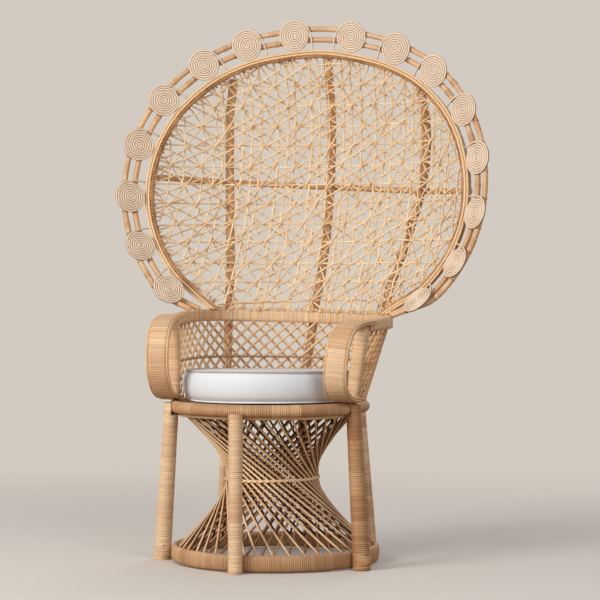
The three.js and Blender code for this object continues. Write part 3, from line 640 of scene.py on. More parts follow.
# A darker copy of the pale cane: painted shade for the inner lacing inside the hourglass
innerShadeCane = caneMaterial("Inner lacing", {
    "pale": (196, 142, 94), "deep": (126, 80, 46), "shade": (80, 40, 16), "specks": 0.4, "wear": 0.1})
barePole = caneMaterial("Bare pole", {
    "pale": (244, 200, 152), "deep": (188, 140, 98), "worn": (236, 200, 156), "specks": 0.5, "wear": 0.2,
    "gloss": 0.5})
bareRing = caneMaterial("Bare ring", {
    "pale": (236, 196, 150), "deep": (188, 138, 94), "specks": 0.35, "streaks": 0.4, "gloss": 0.5})
darkCane = caneMaterial("Dark binding", {
    "pale": (238, 188, 138), "deep": (172, 122, 80), "shade": (70, 42, 24), "worn": (224, 182, 136),
    "specks": 0.4, "wear": 0.2})
linen = clothMaterial("Cushion linen", {
    "pale": (238, 243, 247), "shade": (212, 214, 217), "threads": 1500.0, "slubs": 0.5, "bump": 0.3})
linenPiping = clothMaterial("Cushion piping", {
    "pale": (226, 214, 204), "shade": (186, 172, 160), "threads": 1800.0, "slubs": 0.4, "bump": 0.35})
print("materials ready")


# Rings of the base and seat, wrapped all round
rings = {"basePitch": 5.4, "seatPitch": 5.2, "ridge": 0.75, "hoopRadius": 6.5, "hoopInset": 15,
         "hoopDrop": 18}


def ringPath(ring, inset, height, step=6.0):
    turn = np.linspace(0, 2 * np.pi, 721)
    path = np.stack([ring["side"] + (ring["halfWidth"] - inset) * np.sin(turn),
                     ring["middle"] - (ring["halfDepth"] - inset) * np.cos(turn),
                     np.full(len(turn), float(height))], 1)
    return paced(path, step)[:-1]


# the rings' lowered tones are painted shade as well
pile = newPile()
wrapped(pile, ringPath(baseRing, 0, (baseRing["low"] + baseRing["high"]) / 2),
        ovalOutline(baseRing["high"] - baseRing["low"], baseRing["thick"] + 2.4), [0, 0, 1],
        rings["basePitch"], rings["ridge"], closed=True, tilt=0.7, pale=-0.36, spread=0.3)
finishPiece("baseRing", pile, shadedRingCane, ["base_ring"])

pile = newPile()
wrapped(pile, ringPath(seatRing, 0, seatRing["height"]),
        roundOutline(seatRing["radius"] - 0.2, 18), [0, 0, 1], rings["seatPitch"], rings["ridge"],
        closed=True, pale=-0.22, spread=0.26)
finishPiece("seatRing", pile, shadedRingCane, ["seat_ring"])

strandHeight = seatRing["height"] - rings["hoopDrop"]
pile = newPile()
cane(pile, ringPath(seatRing, rings["hoopInset"], strandHeight, 8), rings["hoopRadius"], 12, [0, 0, 1], True,
     tone=0.55)
finishPiece("strandRing", pile, paleCane, ["strand_ring"])
print("rings made")

# Wrapped legs
legs = {"radius": 19.5, "sideFootRadius": 23.5, "topOutset": 13, "frontFoot": -1.8, "rightFoot": 65.5,
        "rightTop": 74.5,
        "leftFoot": 74, "leftTop": 58, "pitch": 4.8, "ridge": 0.7, "sideRise": 27, "frontRise": 9}
lashing = {"canes": 4, "low": 9, "lowStep": 5, "high": 33, "highStep": 3.6, "reach": 1.75, "radius": 1.7}


def legLine(footTurn, topTurn, footRadius):
    high = seatRing["height"] - seatRing["radius"] * octagonFlat - clearance
    top = onRing(seatRing, np.float64(topTurn), legs["topOutset"], high)
    touch = onRing(baseRing, np.float64(footTurn), baseRing["thick"] / 2 + clearance + footRadius,
                   baseRing["high"])
    foot = touch + (touch - top) * baseRing["high"] / (high - baseRing["high"])
    return foot, top


def coilRound(pile, path, reach, radius, turns, tone=0.6):
    # a cane wound round a straight run from the first point of the path to the last
    turn = np.linspace(0, 2 * np.pi * turns, int(turns * 22) + 1)
    share = (turn / turn[-1])[:, None]
    line = path[0] + (path[-1] - path[0]) * share
    along = unit(path[-1] - path[0])
    aside = unit(np.cross(along, [0.0, 0.0, 1.0] if abs(along[2]) < 0.8 else [1.0, 0.0, 0.0]))
    over = np.cross(along, aside)
    line = line + (np.cos(turn) * reach)[:, None] * aside + (np.sin(turn) * reach)[:, None] * over
    cane(pile, line, radius, 7, along, tone=tone, flat=0.95)


# The legs' tone shifts are painted light and shade: the left leg paler as if lit, the right one darker and in
# the darker cane as if in shadow
for name, node, footTurn, topTurn, pale, material in (
        ("frontLeg", "front_leg", legs["frontFoot"], 0, 0.05, wrapCane),
        ("frontRightLeg", "front_right_leg", legs["rightFoot"], legs["rightTop"], -0.35, paintedShadowCane),
        ("frontLeftLeg", "front_left_leg", -legs["leftFoot"], -legs["leftTop"], 0.45, wrapCane)):
    footRadius = legs["radius"] if name == "frontLeg" else legs["sideFootRadius"]
    foot, top = legLine(footTurn, topTurn, footRadius)
    pile = newPile()
    outline = roundOutline(legs["radius"] - (0.9 if name == "frontLeg" else 0.3), 20)
    wrapped(pile, paced([foot, top], 10), outline, [0, -1, 0], legs["pitch"], legs["ridge"], tilt=0.6,
            scale=([0, 1], [footRadius / legs["radius"], 1]), pale=pale)
    finishPiece(name, pile, material, [node])
    # crossed lashings at the feet of the side legs, and two turns of cane round each foot
    pile = newPile()
    upLeg = unit(top - foot)
    outward = outwardOf(baseRing, np.float64(footTurn))
    beside = np.cross([0.0, 0.0, 1.0], outward)
    for way in (1, -1) if name != "frontLeg" else ():
        for k in range(lashing["canes"]):
            low, high = lashing["low"] + lashing["lowStep"] * k, lashing["high"] + lashing["highStep"] * k
            bend = np.linspace(-1, 1, 25)
            level = (low + high) / 2 + way * (high - low) / 2 * bend
            middle = foot + upLeg * (level / upLeg[2])[:, None]
            around = bend * lashing["reach"]
            path = (middle + outward * (np.cos(around) * (footRadius + 0.2))[:, None]
                    + beside * (np.sin(around) * (footRadius + 0.2))[:, None])
            cane(pile, path, lashing["radius"], 7, outward, tone=0.85, spread=0.2, flat=0.6)
    coilRound(pile, np.array([foot + upLeg * 5, foot + upLeg * 8]), footRadius - 0.6, 1.4, 2,
              tone=0.6 if name != "frontLeg" else 0.0)
    # the outer part of the leg runs on up beside the seat ring
    outwardTop = outwardOf(seatRing, np.float64(topTurn))
    outline, outlineOut = roundOutline(legs["radius"] - 0.2, 24)
    inner = seatRing["radius"] + 0.4 - legs["topOutset"]
    outline[:, 0] = np.maximum(outline[:, 0], inner)
    rise = legs["frontRise"] if name == "frontLeg" else legs["sideRise"]
    cap = paced([top - upLeg * 4, top + [0, 0, rise]], 5)
    wrapped(pile, cap, (outline, outlineOut), outwardTop, legs["pitch"], legs["ridge"], tilt=0.4,
            pale=pale / 2)
    finishPiece(name + "Lashing", pile, material, [])
print("legs made")

# Hourglass of crossing strands between the base ring and the strand ring
lacing = {"strands": 40, "radius": 3.1, "underRim": 8, "turn": 120, "innerTurn": 124, "familyGap": 9.4,
          "gap": 0.7, "waist": 222, "bindRadius": 2.4}
laceLow = baseRing["high"] - lacing["underRim"]
laceTop = {"halfWidth": seatRing["halfWidth"] - rings["hoopInset"] - rings["hoopRadius"],
           "halfDepth": seatRing["halfDepth"] - rings["hoopInset"] - rings["hoopRadius"],
           "side": seatRing["side"], "middle": seatRing["middle"]}
laceFoot = {"halfWidth": baseRing["halfWidth"] - baseRing["thick"] / 2,
            "halfDepth": baseRing["halfDepth"] - baseRing["thick"] / 2, "side": baseRing["side"],
            "middle": baseRing["middle"]}


def lacedFamily(pile, direction, inset, turn, tone):
    step = 360 / lacing["strands"]
    drop = inset + lacing["gap"] + lacing["radius"]
    spots = []
    for i in range(lacing["strands"]):
        at = (i + draw.uniform(-0.12, 0.12)) * step
        low = onRing(laceFoot, np.float64(at), -drop, laceLow)
        high = onRing(laceTop, np.float64(at - direction * turn), -drop, strandHeight)
        share = np.linspace(0, 1, 13)[:, None]
        path = low + (high - low) * share
        path = path + np.sin(np.pi * share) * draw.normal(0, 0.7, 3) * [1, 1, 0]
        radius = lacing["radius"] * draw.uniform(0.92, 1.06)
        centre = np.array([baseRing["side"] / 2, (baseRing["middle"] + seatRing["middle"]) / 2, 0])
        # painted shade on each strand's inward side, so strands seen across the hollow look dark
        cane(pile, path, radius, 8, (path - centre) * [1, 1, 0], tone=tone + draw.normal(0, 0.16),
             paintedShade="front")
        spots.append(low + (high - low) * (lacing["waist"] - laceLow) / (strandHeight - laceLow))
    return np.array(spots)


pile = newPile()
waistSpots = lacedFamily(pile, 1, 0, lacing["turn"], 0.62)
finishPiece("hourglassOuter", pile, paleCane, ["hourglass_lower", "hourglass_upper"])
pile = newPile()
# the inner family's lower tone and darker cane are painted shade inside the hourglass
lacedFamily(pile, -1, lacing["familyGap"], lacing["innerTurn"], 0.45)
finishPiece("hourglassInner", pile, innerShadeCane, ["hourglass_inner"])

waistShare = (lacing["waist"] - laceLow) / (strandHeight - laceLow)
waistMiddle = baseRing["middle"] + (seatRing["middle"] - baseRing["middle"]) * waistShare
waistSide = baseRing["side"] + (seatRing["side"] - baseRing["side"]) * waistShare
waistWide = np.abs(waistSpots[:, 0] - waistSide).max() + lacing["radius"] + 1.2
waistDeep = np.abs(waistSpots[:, 1] - waistMiddle).max() + lacing["radius"] + 1.2
pile = newPile()
turn = np.linspace(0, 2 * np.pi, 160, endpoint=False)
for phase in (0, math.pi):
    path = np.stack([waistSide + (waistWide + 1.1 * np.cos(24 * turn + phase)) * np.sin(turn),
                     waistMiddle - (waistDeep + 1.1 * np.cos(24 * turn + phase)) * np.cos(turn),
                     lacing["waist"] + 2.0 * np.sin(24 * turn + phase) + 2.5 * np.sin(turn)], 1)
    cane(pile, path, lacing["bindRadius"], 8, [0, 0, 1], True, tone=0.8)
finishPiece("waistBinding", pile, paleCane, ["waist_binding"])
print("hourglass made")

# Top rail of the barrel
railRight = np.array(railStations, float)
railLine = np.vstack([railRight, mirrored(railRight[:-1])[::-1]])
railBind = {"pitch": 4.9, "ridge": 0.7, "edgeRadius": 2.3}
railPath = leaned(smoothPath(railLine, 6))
pile = newPile()
wrapped(pile, railPath, roundedOutline(railSize["tall"], railSize["thick"], 8, 4, 3), [0, 0, 1],
        railBind["pitch"], railBind["ridge"], tilt=0.6)
_, railUp, railOut = framesOf(railPath, [0, 0, 1])
railOut = railOut * np.sign((railOut[:, :2] * (railPath[:, :2] - [0, 60])).sum(1, keepdims=True))
for outset in (-railSize["thick"] / 2 + 1.2, railSize["thick"] / 2 - 1.2):
    cane(pile, railPath - railUp * (railSize["tall"] / 2 - 1.6) + railOut * outset, railBind["edgeRadius"],
         7, [0, 0, 1], tone=0.05, shadeAndJoints=0.5)
finishPiece("topRail", pile, wrapCane, ["top_rail"])

# Lattice of the barrel
lattice = {"strands": 30, "run": 0.2, "radius": 3.4, "offset": 3.2, "startAngle": 79, "endShare": 0.985,
           "gap": 1.7, "topInset": 9, "bandShare": 0.52, "bandInset": 9.5}
railDense = curveAt(railLine, np.linspace(0, 1, 401))
railRun = runOf(railDense)


def wallPoint(share, rise, outset):
    share = np.asarray(share, float)
    turn = lattice["startAngle"] + share * (360 - 2 * lattice["startAngle"])
    ringTop = seatRing["height"] + seatRing["radius"] * octagonFlat
    low = onRing(seatRing, turn, 0, ringTop + lattice["gap"] + 1)
    high = atRun(railDense, railRun, np.clip(share, 0, 1) * railRun[-1])
    high[:, 2] -= railSize["tall"] / 2 + lattice["gap"] - 1
    outward = outwardOf(seatRing, turn)
    rise = np.asarray(rise, float)[:, None]
    reach = np.asarray(outset, float).reshape(-1, 1) - lattice["topInset"] * rise
    return low + (high - low) * rise + outward * reach


def latticeFamily(pile, direction, outset, tone):
    extra = math.ceil(lattice["run"] * lattice["strands"])
    for i in range(-extra, lattice["strands"]):
        start = (i + 0.5 + draw.uniform(-0.1, 0.1)) / lattice["strands"]
        low = max(0, (1 - lattice["endShare"] - start) / lattice["run"])
        high = min(1, (lattice["endShare"] - start) / lattice["run"])
        if high - low < 0.06:
            continue
        rise = np.linspace(low, high, 34)
        share = start + rise * lattice["run"]
        share = share if direction > 0 else 1 - share
        weaveWave = 1.1 * np.sin(2 * np.pi * (rise * 12 + (0 if direction > 0 else 0.5)))
        path = leaned(wallPoint(share, rise, outset + weaveWave))
        facing = unit((path - [0, seatRing["middle"], 0]) * [1, 1, 0])
        # painted shade along both sides of each strand
        cane(pile, path, lattice["radius"] * draw.uniform(0.94, 1.06), 8, facing, paintedShade="both",
             tone=tone + draw.normal(0, 0.13))


pile = newPile()
latticeFamily(pile, 1, lattice["offset"], 0.26)
finishPiece("latticeOuter", pile, paleCane, ["lattice_outer"])
pile = newPile()
latticeFamily(pile, -1, -lattice["offset"], 0.6)
finishPiece("latticeInner", pile, paleCane, ["lattice_inner"])
pile = newPile()
share = np.linspace(1 - lattice["endShare"], lattice["endShare"], 420)
for phase in (0, math.pi):
    swing = np.arange(420) * 2 * np.pi / 9
    path = leaned(wallPoint(share, lattice["bandShare"] + 0.01 * np.sin(swing + phase),
                            -lattice["bandInset"] + 1.4 * np.cos(swing + phase)))
    cane(pile, path, 2.0, 6, [0, 0, 1], tone=0.3 if phase else -0.4, shadeAndJoints=0.9 if phase else 0.35)
finishPiece("latticeBand", pile, paleCane, ["lattice_band"])
print("barrel made")

# Arms: a flat wrapped band with a cane along each edge, and the post inside its curl
armStations = np.array([
    [267, -69.2, 644], [263, -112, 644], [257, -152, 641], [252, -190, 634], [248, -222, 617],
    [245, -242, 588], [243, -249, 550], [241, -245, 510], [239, -228, 477], [240, -203, 457],
    [242, -169, 444], [250, -112, 437.2],
], float)
arms = {"wide": 52, "thick": 14, "pitch": 4.9, "ridge": 0.65, "postWide": 37, "postDeep": 29,
        "postLow": 246, "postHigh": 264, "postY": -93}
for sign, side, title in ((1, "right", "Right"), (-1, "left", "Left")):
    line = smoothPath(armStations * [sign, 1, 1], 5)
    path = leaned(line)
    pile = newPile()
    wrapped(pile, path, roundedOutline(arms["wide"], arms["thick"], 5.5, 3, 4), [1, 0, 0], arms["pitch"],
            arms["ridge"], tilt=0.55)
    finishPiece("armBand" + title, pile, wrapCane, [side + "_arm_band"])
    for edge, edgeName in ((1, "outer"), (-1, "inner")):
        pile = newPile()
        tangent, _, _ = framesOf(path, [1, 0, 0])
        over = np.cross([1.0, 0, 0], tangent)
        reach = edge * sign * (arms["wide"] / 2 + 2.0)
        for lift, radius in ((3.1, 2.5), (-2.6, 2.6)):
            cane(pile, path + [reach, 0, 0] + over * lift, radius, 8, [1, 0, 0], tone=0.45)
        finishPiece("armCane" + title + edgeName.title(), pile, paleCane,
                    [side + "_arm_cane_" + edgeName])
    overRing = seatRing["height"] + seatRing["radius"] * octagonFlat + clearance
    low = np.array([arms["postLow"] * sign, arms["postY"], overRing])
    high = leaned(np.array([arms["postHigh"] * sign, arms["postY"],
                            armStations[0][2] - arms["thick"] / 2 - clearance]))
    pile = newPile()
    wrapped(pile, paced([low, high], 8), roundedOutline(arms["postWide"], arms["postDeep"], 12, 4, 3),
            [1, 0, 0], arms["pitch"], arms["ridge"],
            scale=([0, 0.12, 0.4, 0.93, 1], [0.72, 0.84, 1, 1, 0.9]))
    finishPiece("armPost" + title, pile, wrapCane, [side + "_arm_post"])
print("arms made")

# The rim of the fan, which the rings, the hoop and the medallions all follow
rimRight = np.array([rimTop, *rimStations, rimTail], float)
rimLine = np.vstack([mirrored(rimRight[1:])[::-1], rimRight])
rimCount = len(rimLine) - 1


def rimFrames(share):
    middle = curveAt(rimLine, share)
    heading = unit(curveAt(rimLine, share + 1e-4) - curveAt(rimLine, share - 1e-4))
    inward = unit(np.stack([-heading[:, 2], np.zeros(len(share)), heading[:, 0]], 1)) * -1
    wrong = inward[:, 2] * (shell["middleZ"] - middle[:, 2]) - inward[:, 0] * middle[:, 0] < 0
    inward[wrong] *= -1
    fromTop = np.abs(share * rimCount - rimCount / 2)
    flare = np.radians(np.interp(fromTop, np.arange(len(rimFlares)), rimFlares))
    toward = inward * np.cos(flare)[:, None] + np.array([0, 1.0, 0]) * np.sin(flare)[:, None]
    toward = unit(toward - (toward * heading).sum(1, keepdims=True) * heading)
    front = np.cross(heading, toward)
    front[front[:, 1] > 0] *= -1
    return middle, heading, inward, toward, front


def rimOffset(inset, behind, backward, foot, rise, inside=0.0, footShift=(0, 0, 0), steps=96):
    middle, _, inward, toward, front = rimFrames(np.linspace(0, 1, steps + 1))
    points = middle + toward * inset - front * behind + inward * inside + [0, backward, 0]
    points = points[points[:, 2] > foot[2] + rise]
    end = np.array(foot, float) + footShift
    return np.vstack([mirrored(end), points, end])


def eased(line):  # a rim line drawn smoothly through its points, down to its two feet
    return curveAt(line, np.linspace(0, 1, 4 * len(line)))


rimParts = {"medallionThick": 7, "ringRadius": 6.5, "shownRadius": 7.6, "outset": 15.5, "inset": 14.5}
ringBehind = rimParts["medallionThick"] / 2 + clearance + rimParts["ringRadius"]
outerRingLine = rimOffset(-rimParts["outset"], ringBehind, 0, [288, 110, 661.1], 26)
innerRingLine = rimOffset(rimParts["inset"], ringBehind, 0, [274, 143, 661.6], 26)
for name, node, line in (("outerFanRing", "outer_fan_ring", outerRingLine),
                         ("innerFanRing", "inner_fan_ring", innerRingLine)):
    pile = newPile()
    path = paced(leaned(eased(line)), 6)
    run = runOf(path)
    radius = np.full(len(path), rimParts["shownRadius"])
    shadeAndJoints = np.ones(len(path))
    knots = np.cumsum(draw.uniform(120, 260, 24))
    for at in knots[knots < run[-1]]:
        radius += 0.25 * np.exp(-((run - at) / 5) ** 2)
        shadeAndJoints -= 0.55 * np.exp(-((run - at - 4) / 2) ** 2)
    cane(pile, path, radius, 12, [0, 1, 0], tone=0.5 + 0.22 * np.sin(run / 90) * np.sin(run / 340),
         shadeAndJoints=np.clip(shadeAndJoints, 0.1, 1)[:, None])
    # a dark binding shows at each side of a medallion, and a few turns of cane bind some of the spans
    spots = np.array([leaned(rimFrames(np.array([k / rimCount]))[0])[0] for k in range(rimCount + 1)])
    beside = [np.linalg.norm(path - spot, axis=1).argmin() for spot in spots]
    for k in range(1, rimCount):
        if k == rimCount // 2 or min(beside[k], len(path) - 1 - beside[k]) < 8:
            continue
        for way in (-1, 1):
            at = run[beside[k]] + way * draw.uniform(40, 44)
            near = atRun(path, run, np.array([at - 2.5, at + 2.5]))
            coilRound(pile, near, rimParts["shownRadius"] - 0.4, 1.5, 2.2, tone=-0.6)
        at = run[beside[k]] + draw.uniform(56, 84)
        if at < run[-1] - 40 and draw.random() < 0.4:
            turns = int(draw.integers(3, 8))
            near = atRun(path, run, np.array([at, at + turns * 3.6]))
            coilRound(pile, near, rimParts["shownRadius"] - 0.5, 1.8, turns, tone=0.5)
    finishPiece(name, pile, bareRing, [node])

# Hoop inside the rings: a dark bound band with two pale canes on its front edge
bandBack = hoopBand["caneRadius"] + clearance + hoopBand["deep"] / 2
hoopLine = rimOffset(hoopBand["inset"], 0, bandBack, hoopBand["foot"], hoopBand["ease"])
pile = newPile()
wrapped(pile, paced(leaned(eased(hoopLine)), 6), roundedOutline(hoopBand["deep"], hoopBand["thick"], 3, 2, 4),
        [0, 1, 0], hoopBand["pitch"], hoopBand["ridge"], tilt=0.5)
finishPiece("hoopBand", pile, darkCane, ["hoop_band"])
for shiftBy, label in ((-3.7, "outer"), (3.7, "inner")):
    line = rimOffset(hoopBand["inset"], 0, 0, hoopBand["foot"], hoopBand["ease"], shiftBy,
                     (-shiftBy * 1.4, -bandBack, 0))
    pile = newPile()
    cane(pile, paced(leaned(eased(line)), 8), hoopBand["caneRadius"], 10, [0, 1, 0], tone=0.75)
    finishPiece("hoopCane" + label.title(), pile, paleCane, ["hoop_cane_" + label])
braid = {"inside": 9.5, "behind": 9, "reach": 4.2, "radius": 1.75, "pitch": 4.6}
braidLine = rimOffset(hoopBand["inset"], 0, braid["behind"], hoopBand["foot"], hoopBand["ease"],
                      braid["inside"], (-braid["inside"], braid["behind"] - bandBack, 0))
braidCore = paced(leaned(eased(braidLine)), 0.6)
braidRun = runOf(braidCore)
_, braidFront, braidOver = framesOf(braidCore, [0, 1, 0])
braidTurn = braidRun * 2 * np.pi / braid["pitch"]
braidReach = braid["reach"] + np.interp(braidRun, np.arange(0, braidRun[-1], 9),
                                        draw.normal(0, 0.7, len(np.arange(0, braidRun[-1], 9))))
pile = newPile()
cane(pile, braidCore + (np.cos(braidTurn) * braidReach * 1.5)[:, None] * braidFront
     + (np.sin(braidTurn) * braidReach)[:, None] * braidOver, braid["radius"], 6, [0, 1, 0],
     tone=0.45 + 0.3 * np.sin(braidRun / 23) * np.sin(braidRun / 71))
finishPiece("hoopBraid", pile, darkCane, [])
print("fan rings made")

# Coiled medallions, each one cane wound flat, its tail going to the hoop
coil = {"radius": 47, "turns": 6.4, "tube": 3.3, "core": 1.6, "tailRadius": 2.6}
for side, title, sign in (("right", "Right", 1), ("left", "Left", -1)):
    for number in range(1, 9):
        node = "medallion_%s_%d" % (side, number)
        corners = (np.array([v.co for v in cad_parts[node].data.vertices]) - shift) * 1000
        centre = corners.mean(0)
        _, _, axes = np.linalg.svd(corners - centre)
        front = axes[2] if axes[2][1] < 0 else -axes[2]
        middle, heading, _, toward, _ = rimFrames(np.array([(rimCount / 2 + sign * number) / rimCount]))
        ahead = leaned(middle - heading * sign)[0] - leaned(middle)[0]
        inner = leaned(middle + toward)[0] - leaned(middle)[0]
        inner = unit(inner - inner.dot(front) * front)
        ahead = unit(ahead - ahead.dot(front) * front - ahead.dot(inner) * inner)
        outer = coil["radius"] - coil["tube"]
        turn = np.linspace(0, 2 * np.pi * coil["turns"], int(coil["turns"] * 44))
        reach = coil["core"] + (outer - coil["core"]) * turn / turn[-1]
        reach = reach + 0.3 * np.sin(turn * 2 + draw.uniform(0, 6)) * reach / outer
        spin = turn - turn[-1] - 0.35
        path = centre + (np.cos(spin) * reach)[:, None] * ahead + (np.sin(spin) * reach)[:, None] * inner
        path = path + front * (0.5 * np.cos(np.pi * reach / outer * 0.5))[:, None]
        leave = unit(path[-1] - path[-2])
        ending = centre + ahead * (outer + 1) + inner * (hoopBand["inset"] - 2) - front * 5
        bridge = np.linspace(0, 1, 10)[1:, None]
        tail = (path[-1] * (1 - bridge) ** 2 + (path[-1] + leave * 22) * 2 * bridge * (1 - bridge)
                + ending * bridge**2)
        pile = newPile()
        tone = 0.62 + draw.normal(0, 0.07) + 0.09 * np.sin(np.append(turn, np.full(9, turn[-1])) / 3.1)
        width = np.append(np.full(len(turn), coil["tube"]), np.full(9, coil["tailRadius"]))
        # painted shade, sharp, in the grooves between the coiled turns
        cane(pile, np.vstack([path, tail]), width, 12, front, tone=tone, paintedShade="deep")
        finishPiece("medallion%s%d" % (title, number), pile, coilCane, [node])
print("medallions made")

# Woven shell of the fan
edgeInside = hoopBand["thick"] / 2 + 3.9
edgeLine = rimOffset(hoopBand["inset"], 0, shell["edgeBack"], hoopBand["foot"], hoopBand["rise"], edgeInside,
                     (-edgeInside, shell["edgeBack"] - bandBack, 0))
lowest = edgeLine[-1][2] + shell["weaveRadius"] + clearance
edgeLine[0][2] = edgeLine[-1][2] = lowest
railHalf = railRight[railRight[:, 1] > 0][::-1]
footX = edgeLine[-1][0]
bottomX = footX * (1 - 2 * np.arange(1, 40) / 40)
bottomY = np.interp(np.abs(bottomX), railHalf[:, 0], railHalf[:, 1])
edgeLine = np.vstack([edgeLine, np.stack([bottomX, bottomY, np.full(39, lowest)], 1)])
edgeAngle = np.arctan2(edgeLine[:, 2] - shell["middleZ"], edgeLine[:, 0])
order = np.argsort(edgeAngle)
edgeAngle = edgeAngle[order]
edgeReach = np.hypot(edgeLine[order, 0], edgeLine[order, 2] - shell["middleZ"])
edgeDepth = edgeLine[order, 1]


def edgeAt(x, z):
    angle = np.arctan2(z - shell["middleZ"], x)
    return (np.interp(angle, edgeAngle, edgeReach, period=2 * np.pi),
            np.interp(angle, edgeAngle, edgeDepth, period=2 * np.pi))


def shellPoint(x, z):
    x, z = np.broadcast_arrays(np.asarray(x, float), np.asarray(z, float))
    reach, depth = edgeAt(x, z)
    share = np.clip(np.hypot(x, z - shell["middleZ"]) / reach, 0, 1)
    return np.stack([x, shell["middleY"] + (depth - shell["middleY"]) * share ** shell["power"], z], -1)


def shellFront(x, z):
    x = np.asarray(x, float) * shell["within"]
    z = shell["middleZ"] + (np.asarray(z, float) - shell["middleZ"]) * shell["within"]
    here = shellPoint(x, z)
    return unit(np.cross(shellPoint(x + 4, z) - here, shellPoint(x, z + 4) - here))


def insideShare(x, z):
    reach, _ = edgeAt(x, z)
    return np.hypot(x, z - shell["middleZ"]) / reach


# Three lines each way through every star, the stars set where they show between the poles
star = {"centre": (-30.3, 1076.0), "rising": (98.6, 61.8), "falling": (95.3, -50.6), "triplet": 26.5,
        "hookLow": 6, "hookHigh": 20, "wave": 54.0, "tuftStep": 6.5, "tuftRadius": 1.5}


def edgeHook(x, z, reach, aside):  # the end of a strand, bent forward along the inner face of the hoop band
    share = insideShare(x, z)
    x, z = x / share, shell["middleZ"] + (z - shell["middleZ"]) / share
    seat = shellPoint(x, z)
    outward = unit(np.array([x, 0, z - shell["middleZ"]]))
    onward = np.cross(outward, [0.0, 1.0, 0.0])
    return np.array([seat + outward * (1.5 + 2 * t) - np.array([0, 1.0, 0]) * reach * t + onward * aside * t
                     for t in (0.0, 0.35, 0.7, 1.0)])


def starStrand(pile, origin, heading, offset, radius, phase, tone):
    sideways = np.array([-heading[1], heading[0]])
    turn = draw.normal(0, 0.01)
    heading = np.array([heading[0] - turn * heading[1], heading[1] + turn * heading[0]])
    origin = origin + sideways * draw.normal(0, 1.9)
    s = np.arange(-1100, 1100, 6.0)
    bow = (1.1 * draw.normal() * np.sin(s / 260 + draw.uniform(0, 6))
           + 0.5 * np.sin(s / 47 + draw.uniform(0, 6)))
    x = origin[0] + heading[0] * s + sideways[0] * bow
    z = origin[1] + heading[1] * s + sideways[1] * bow
    keep = insideShare(x, z) < 0.985
    if keep.sum() < 5:
        return
    s, x, z = s[keep], x[keep], z[keep]
    lift = offset + 2.2 * np.sin(2 * np.pi * s / star["wave"] + phase)
    lift = lift * np.clip(np.minimum(s - s[0], s[-1] - s) / 30, 0.25, 1)
    path = shellPoint(x, z) + shellFront(x, z) * lift[:, None]
    hooks = [edgeHook(x[end], z[end], draw.uniform(star["hookLow"], star["hookHigh"]), draw.normal(0, 5))
             for end in (0, -1)]
    path = leaned(np.vstack([hooks[0][::-1], path, hooks[1]]))
    at = runOf(path)
    tones = tone + draw.normal(0, 0.14) + 0.16 * np.sin(at / draw.uniform(18, 40) + draw.uniform(0, 6))
    # painted shade along both sides of each strand, kept light
    cane(pile, path, radius * draw.uniform(0.9, 1.12), 7, [0, 1, 0], tone=tones, paintedShade="both")


def starFamily(pile, step, offset, radius, triplet, tone):
    # all lines of one direction through the stars, with a line each side where they run in threes
    step = np.array(step, float)
    heading = step / np.linalg.norm(step)
    sideways = np.array([-heading[1], heading[0]])
    rising, falling = star["rising"], star["falling"]
    span = abs(rising[0] * falling[1] - rising[1] * falling[0]) / np.linalg.norm(step)
    count = int(760 / span)
    for k in range(-count, count + 1):
        for beside in ((-star["triplet"], 0, star["triplet"]) if triplet else (0,)):
            origin = np.array(star["centre"]) + sideways * (k * span + beside)
            starStrand(pile, origin, heading, offset, radius, draw.uniform(0, 2 * np.pi), tone)


def edgeTufts(pile):  # short loops of the strands' ends, standing out from the hoop band and the rail
    walk = edgeLine[order]
    walk = paced(np.vstack([walk, walk[:1]]), star["tuftStep"])
    for spot in walk:
        outward = unit(np.array([spot[0], 0, spot[2] - shell["middleZ"]]))
        onward = np.cross(outward, [0.0, 1.0, 0.0])
        low = spot[2] < lowest + 4
        length = draw.uniform(4, 13) if not low else draw.uniform(3, 9)
        width = draw.uniform(1.2, 3.6) * draw.choice([-1, 1])
        forward = draw.uniform(-16, 4) if not low else draw.uniform(-12, 2)
        root = spot + outward * 2.2 + np.array([0, forward, 0])
        loop = np.array([root - onward * width * 0.5, root - outward * length * 0.7 - onward * width * 0.6,
                         root - outward * length, root - outward * length * 0.7 + onward * width * 0.7,
                         root + onward * width * 0.6 + np.array([0, -3.0, 0])])
        cane(pile, leaned(smoothPath(loop, 3.0)), star["tuftRadius"] * draw.uniform(0.85, 1.2), 6, [0, 1, 0],
             tone=0.45 + draw.normal(0, 0.3), shadeAndJoints=0.6)


rising, falling = np.array(star["rising"]), np.array(star["falling"])
# The uprights' higher tones are painted light where they lie in shade
weaveFamilies = {  # direction, offset, radius, in threes, tone
    "Uprights": ((rising - falling, 8.0, 2.5, True, 0.82), (rising + falling, 6.0, 2.3, False, 0.78)),
    "Rising": ((rising, 11.0, 2.3, True, 0.76), (2 * rising - falling, 13.0, 2.2, False, 0.72)),
    "Falling": ((falling, 3.0, 2.3, True, 0.72), (2 * falling - rising, 5.0, 2.2, False, 0.68)),
}
for title, families in weaveFamilies.items():
    pile = newPile()
    for family in families:
        starFamily(pile, *family)
    if title == "Uprights":
        edgeTufts(pile)
    finishPiece("weave" + title, pile, weaveCane, ["weave_" + title.lower()])
print("weave made")

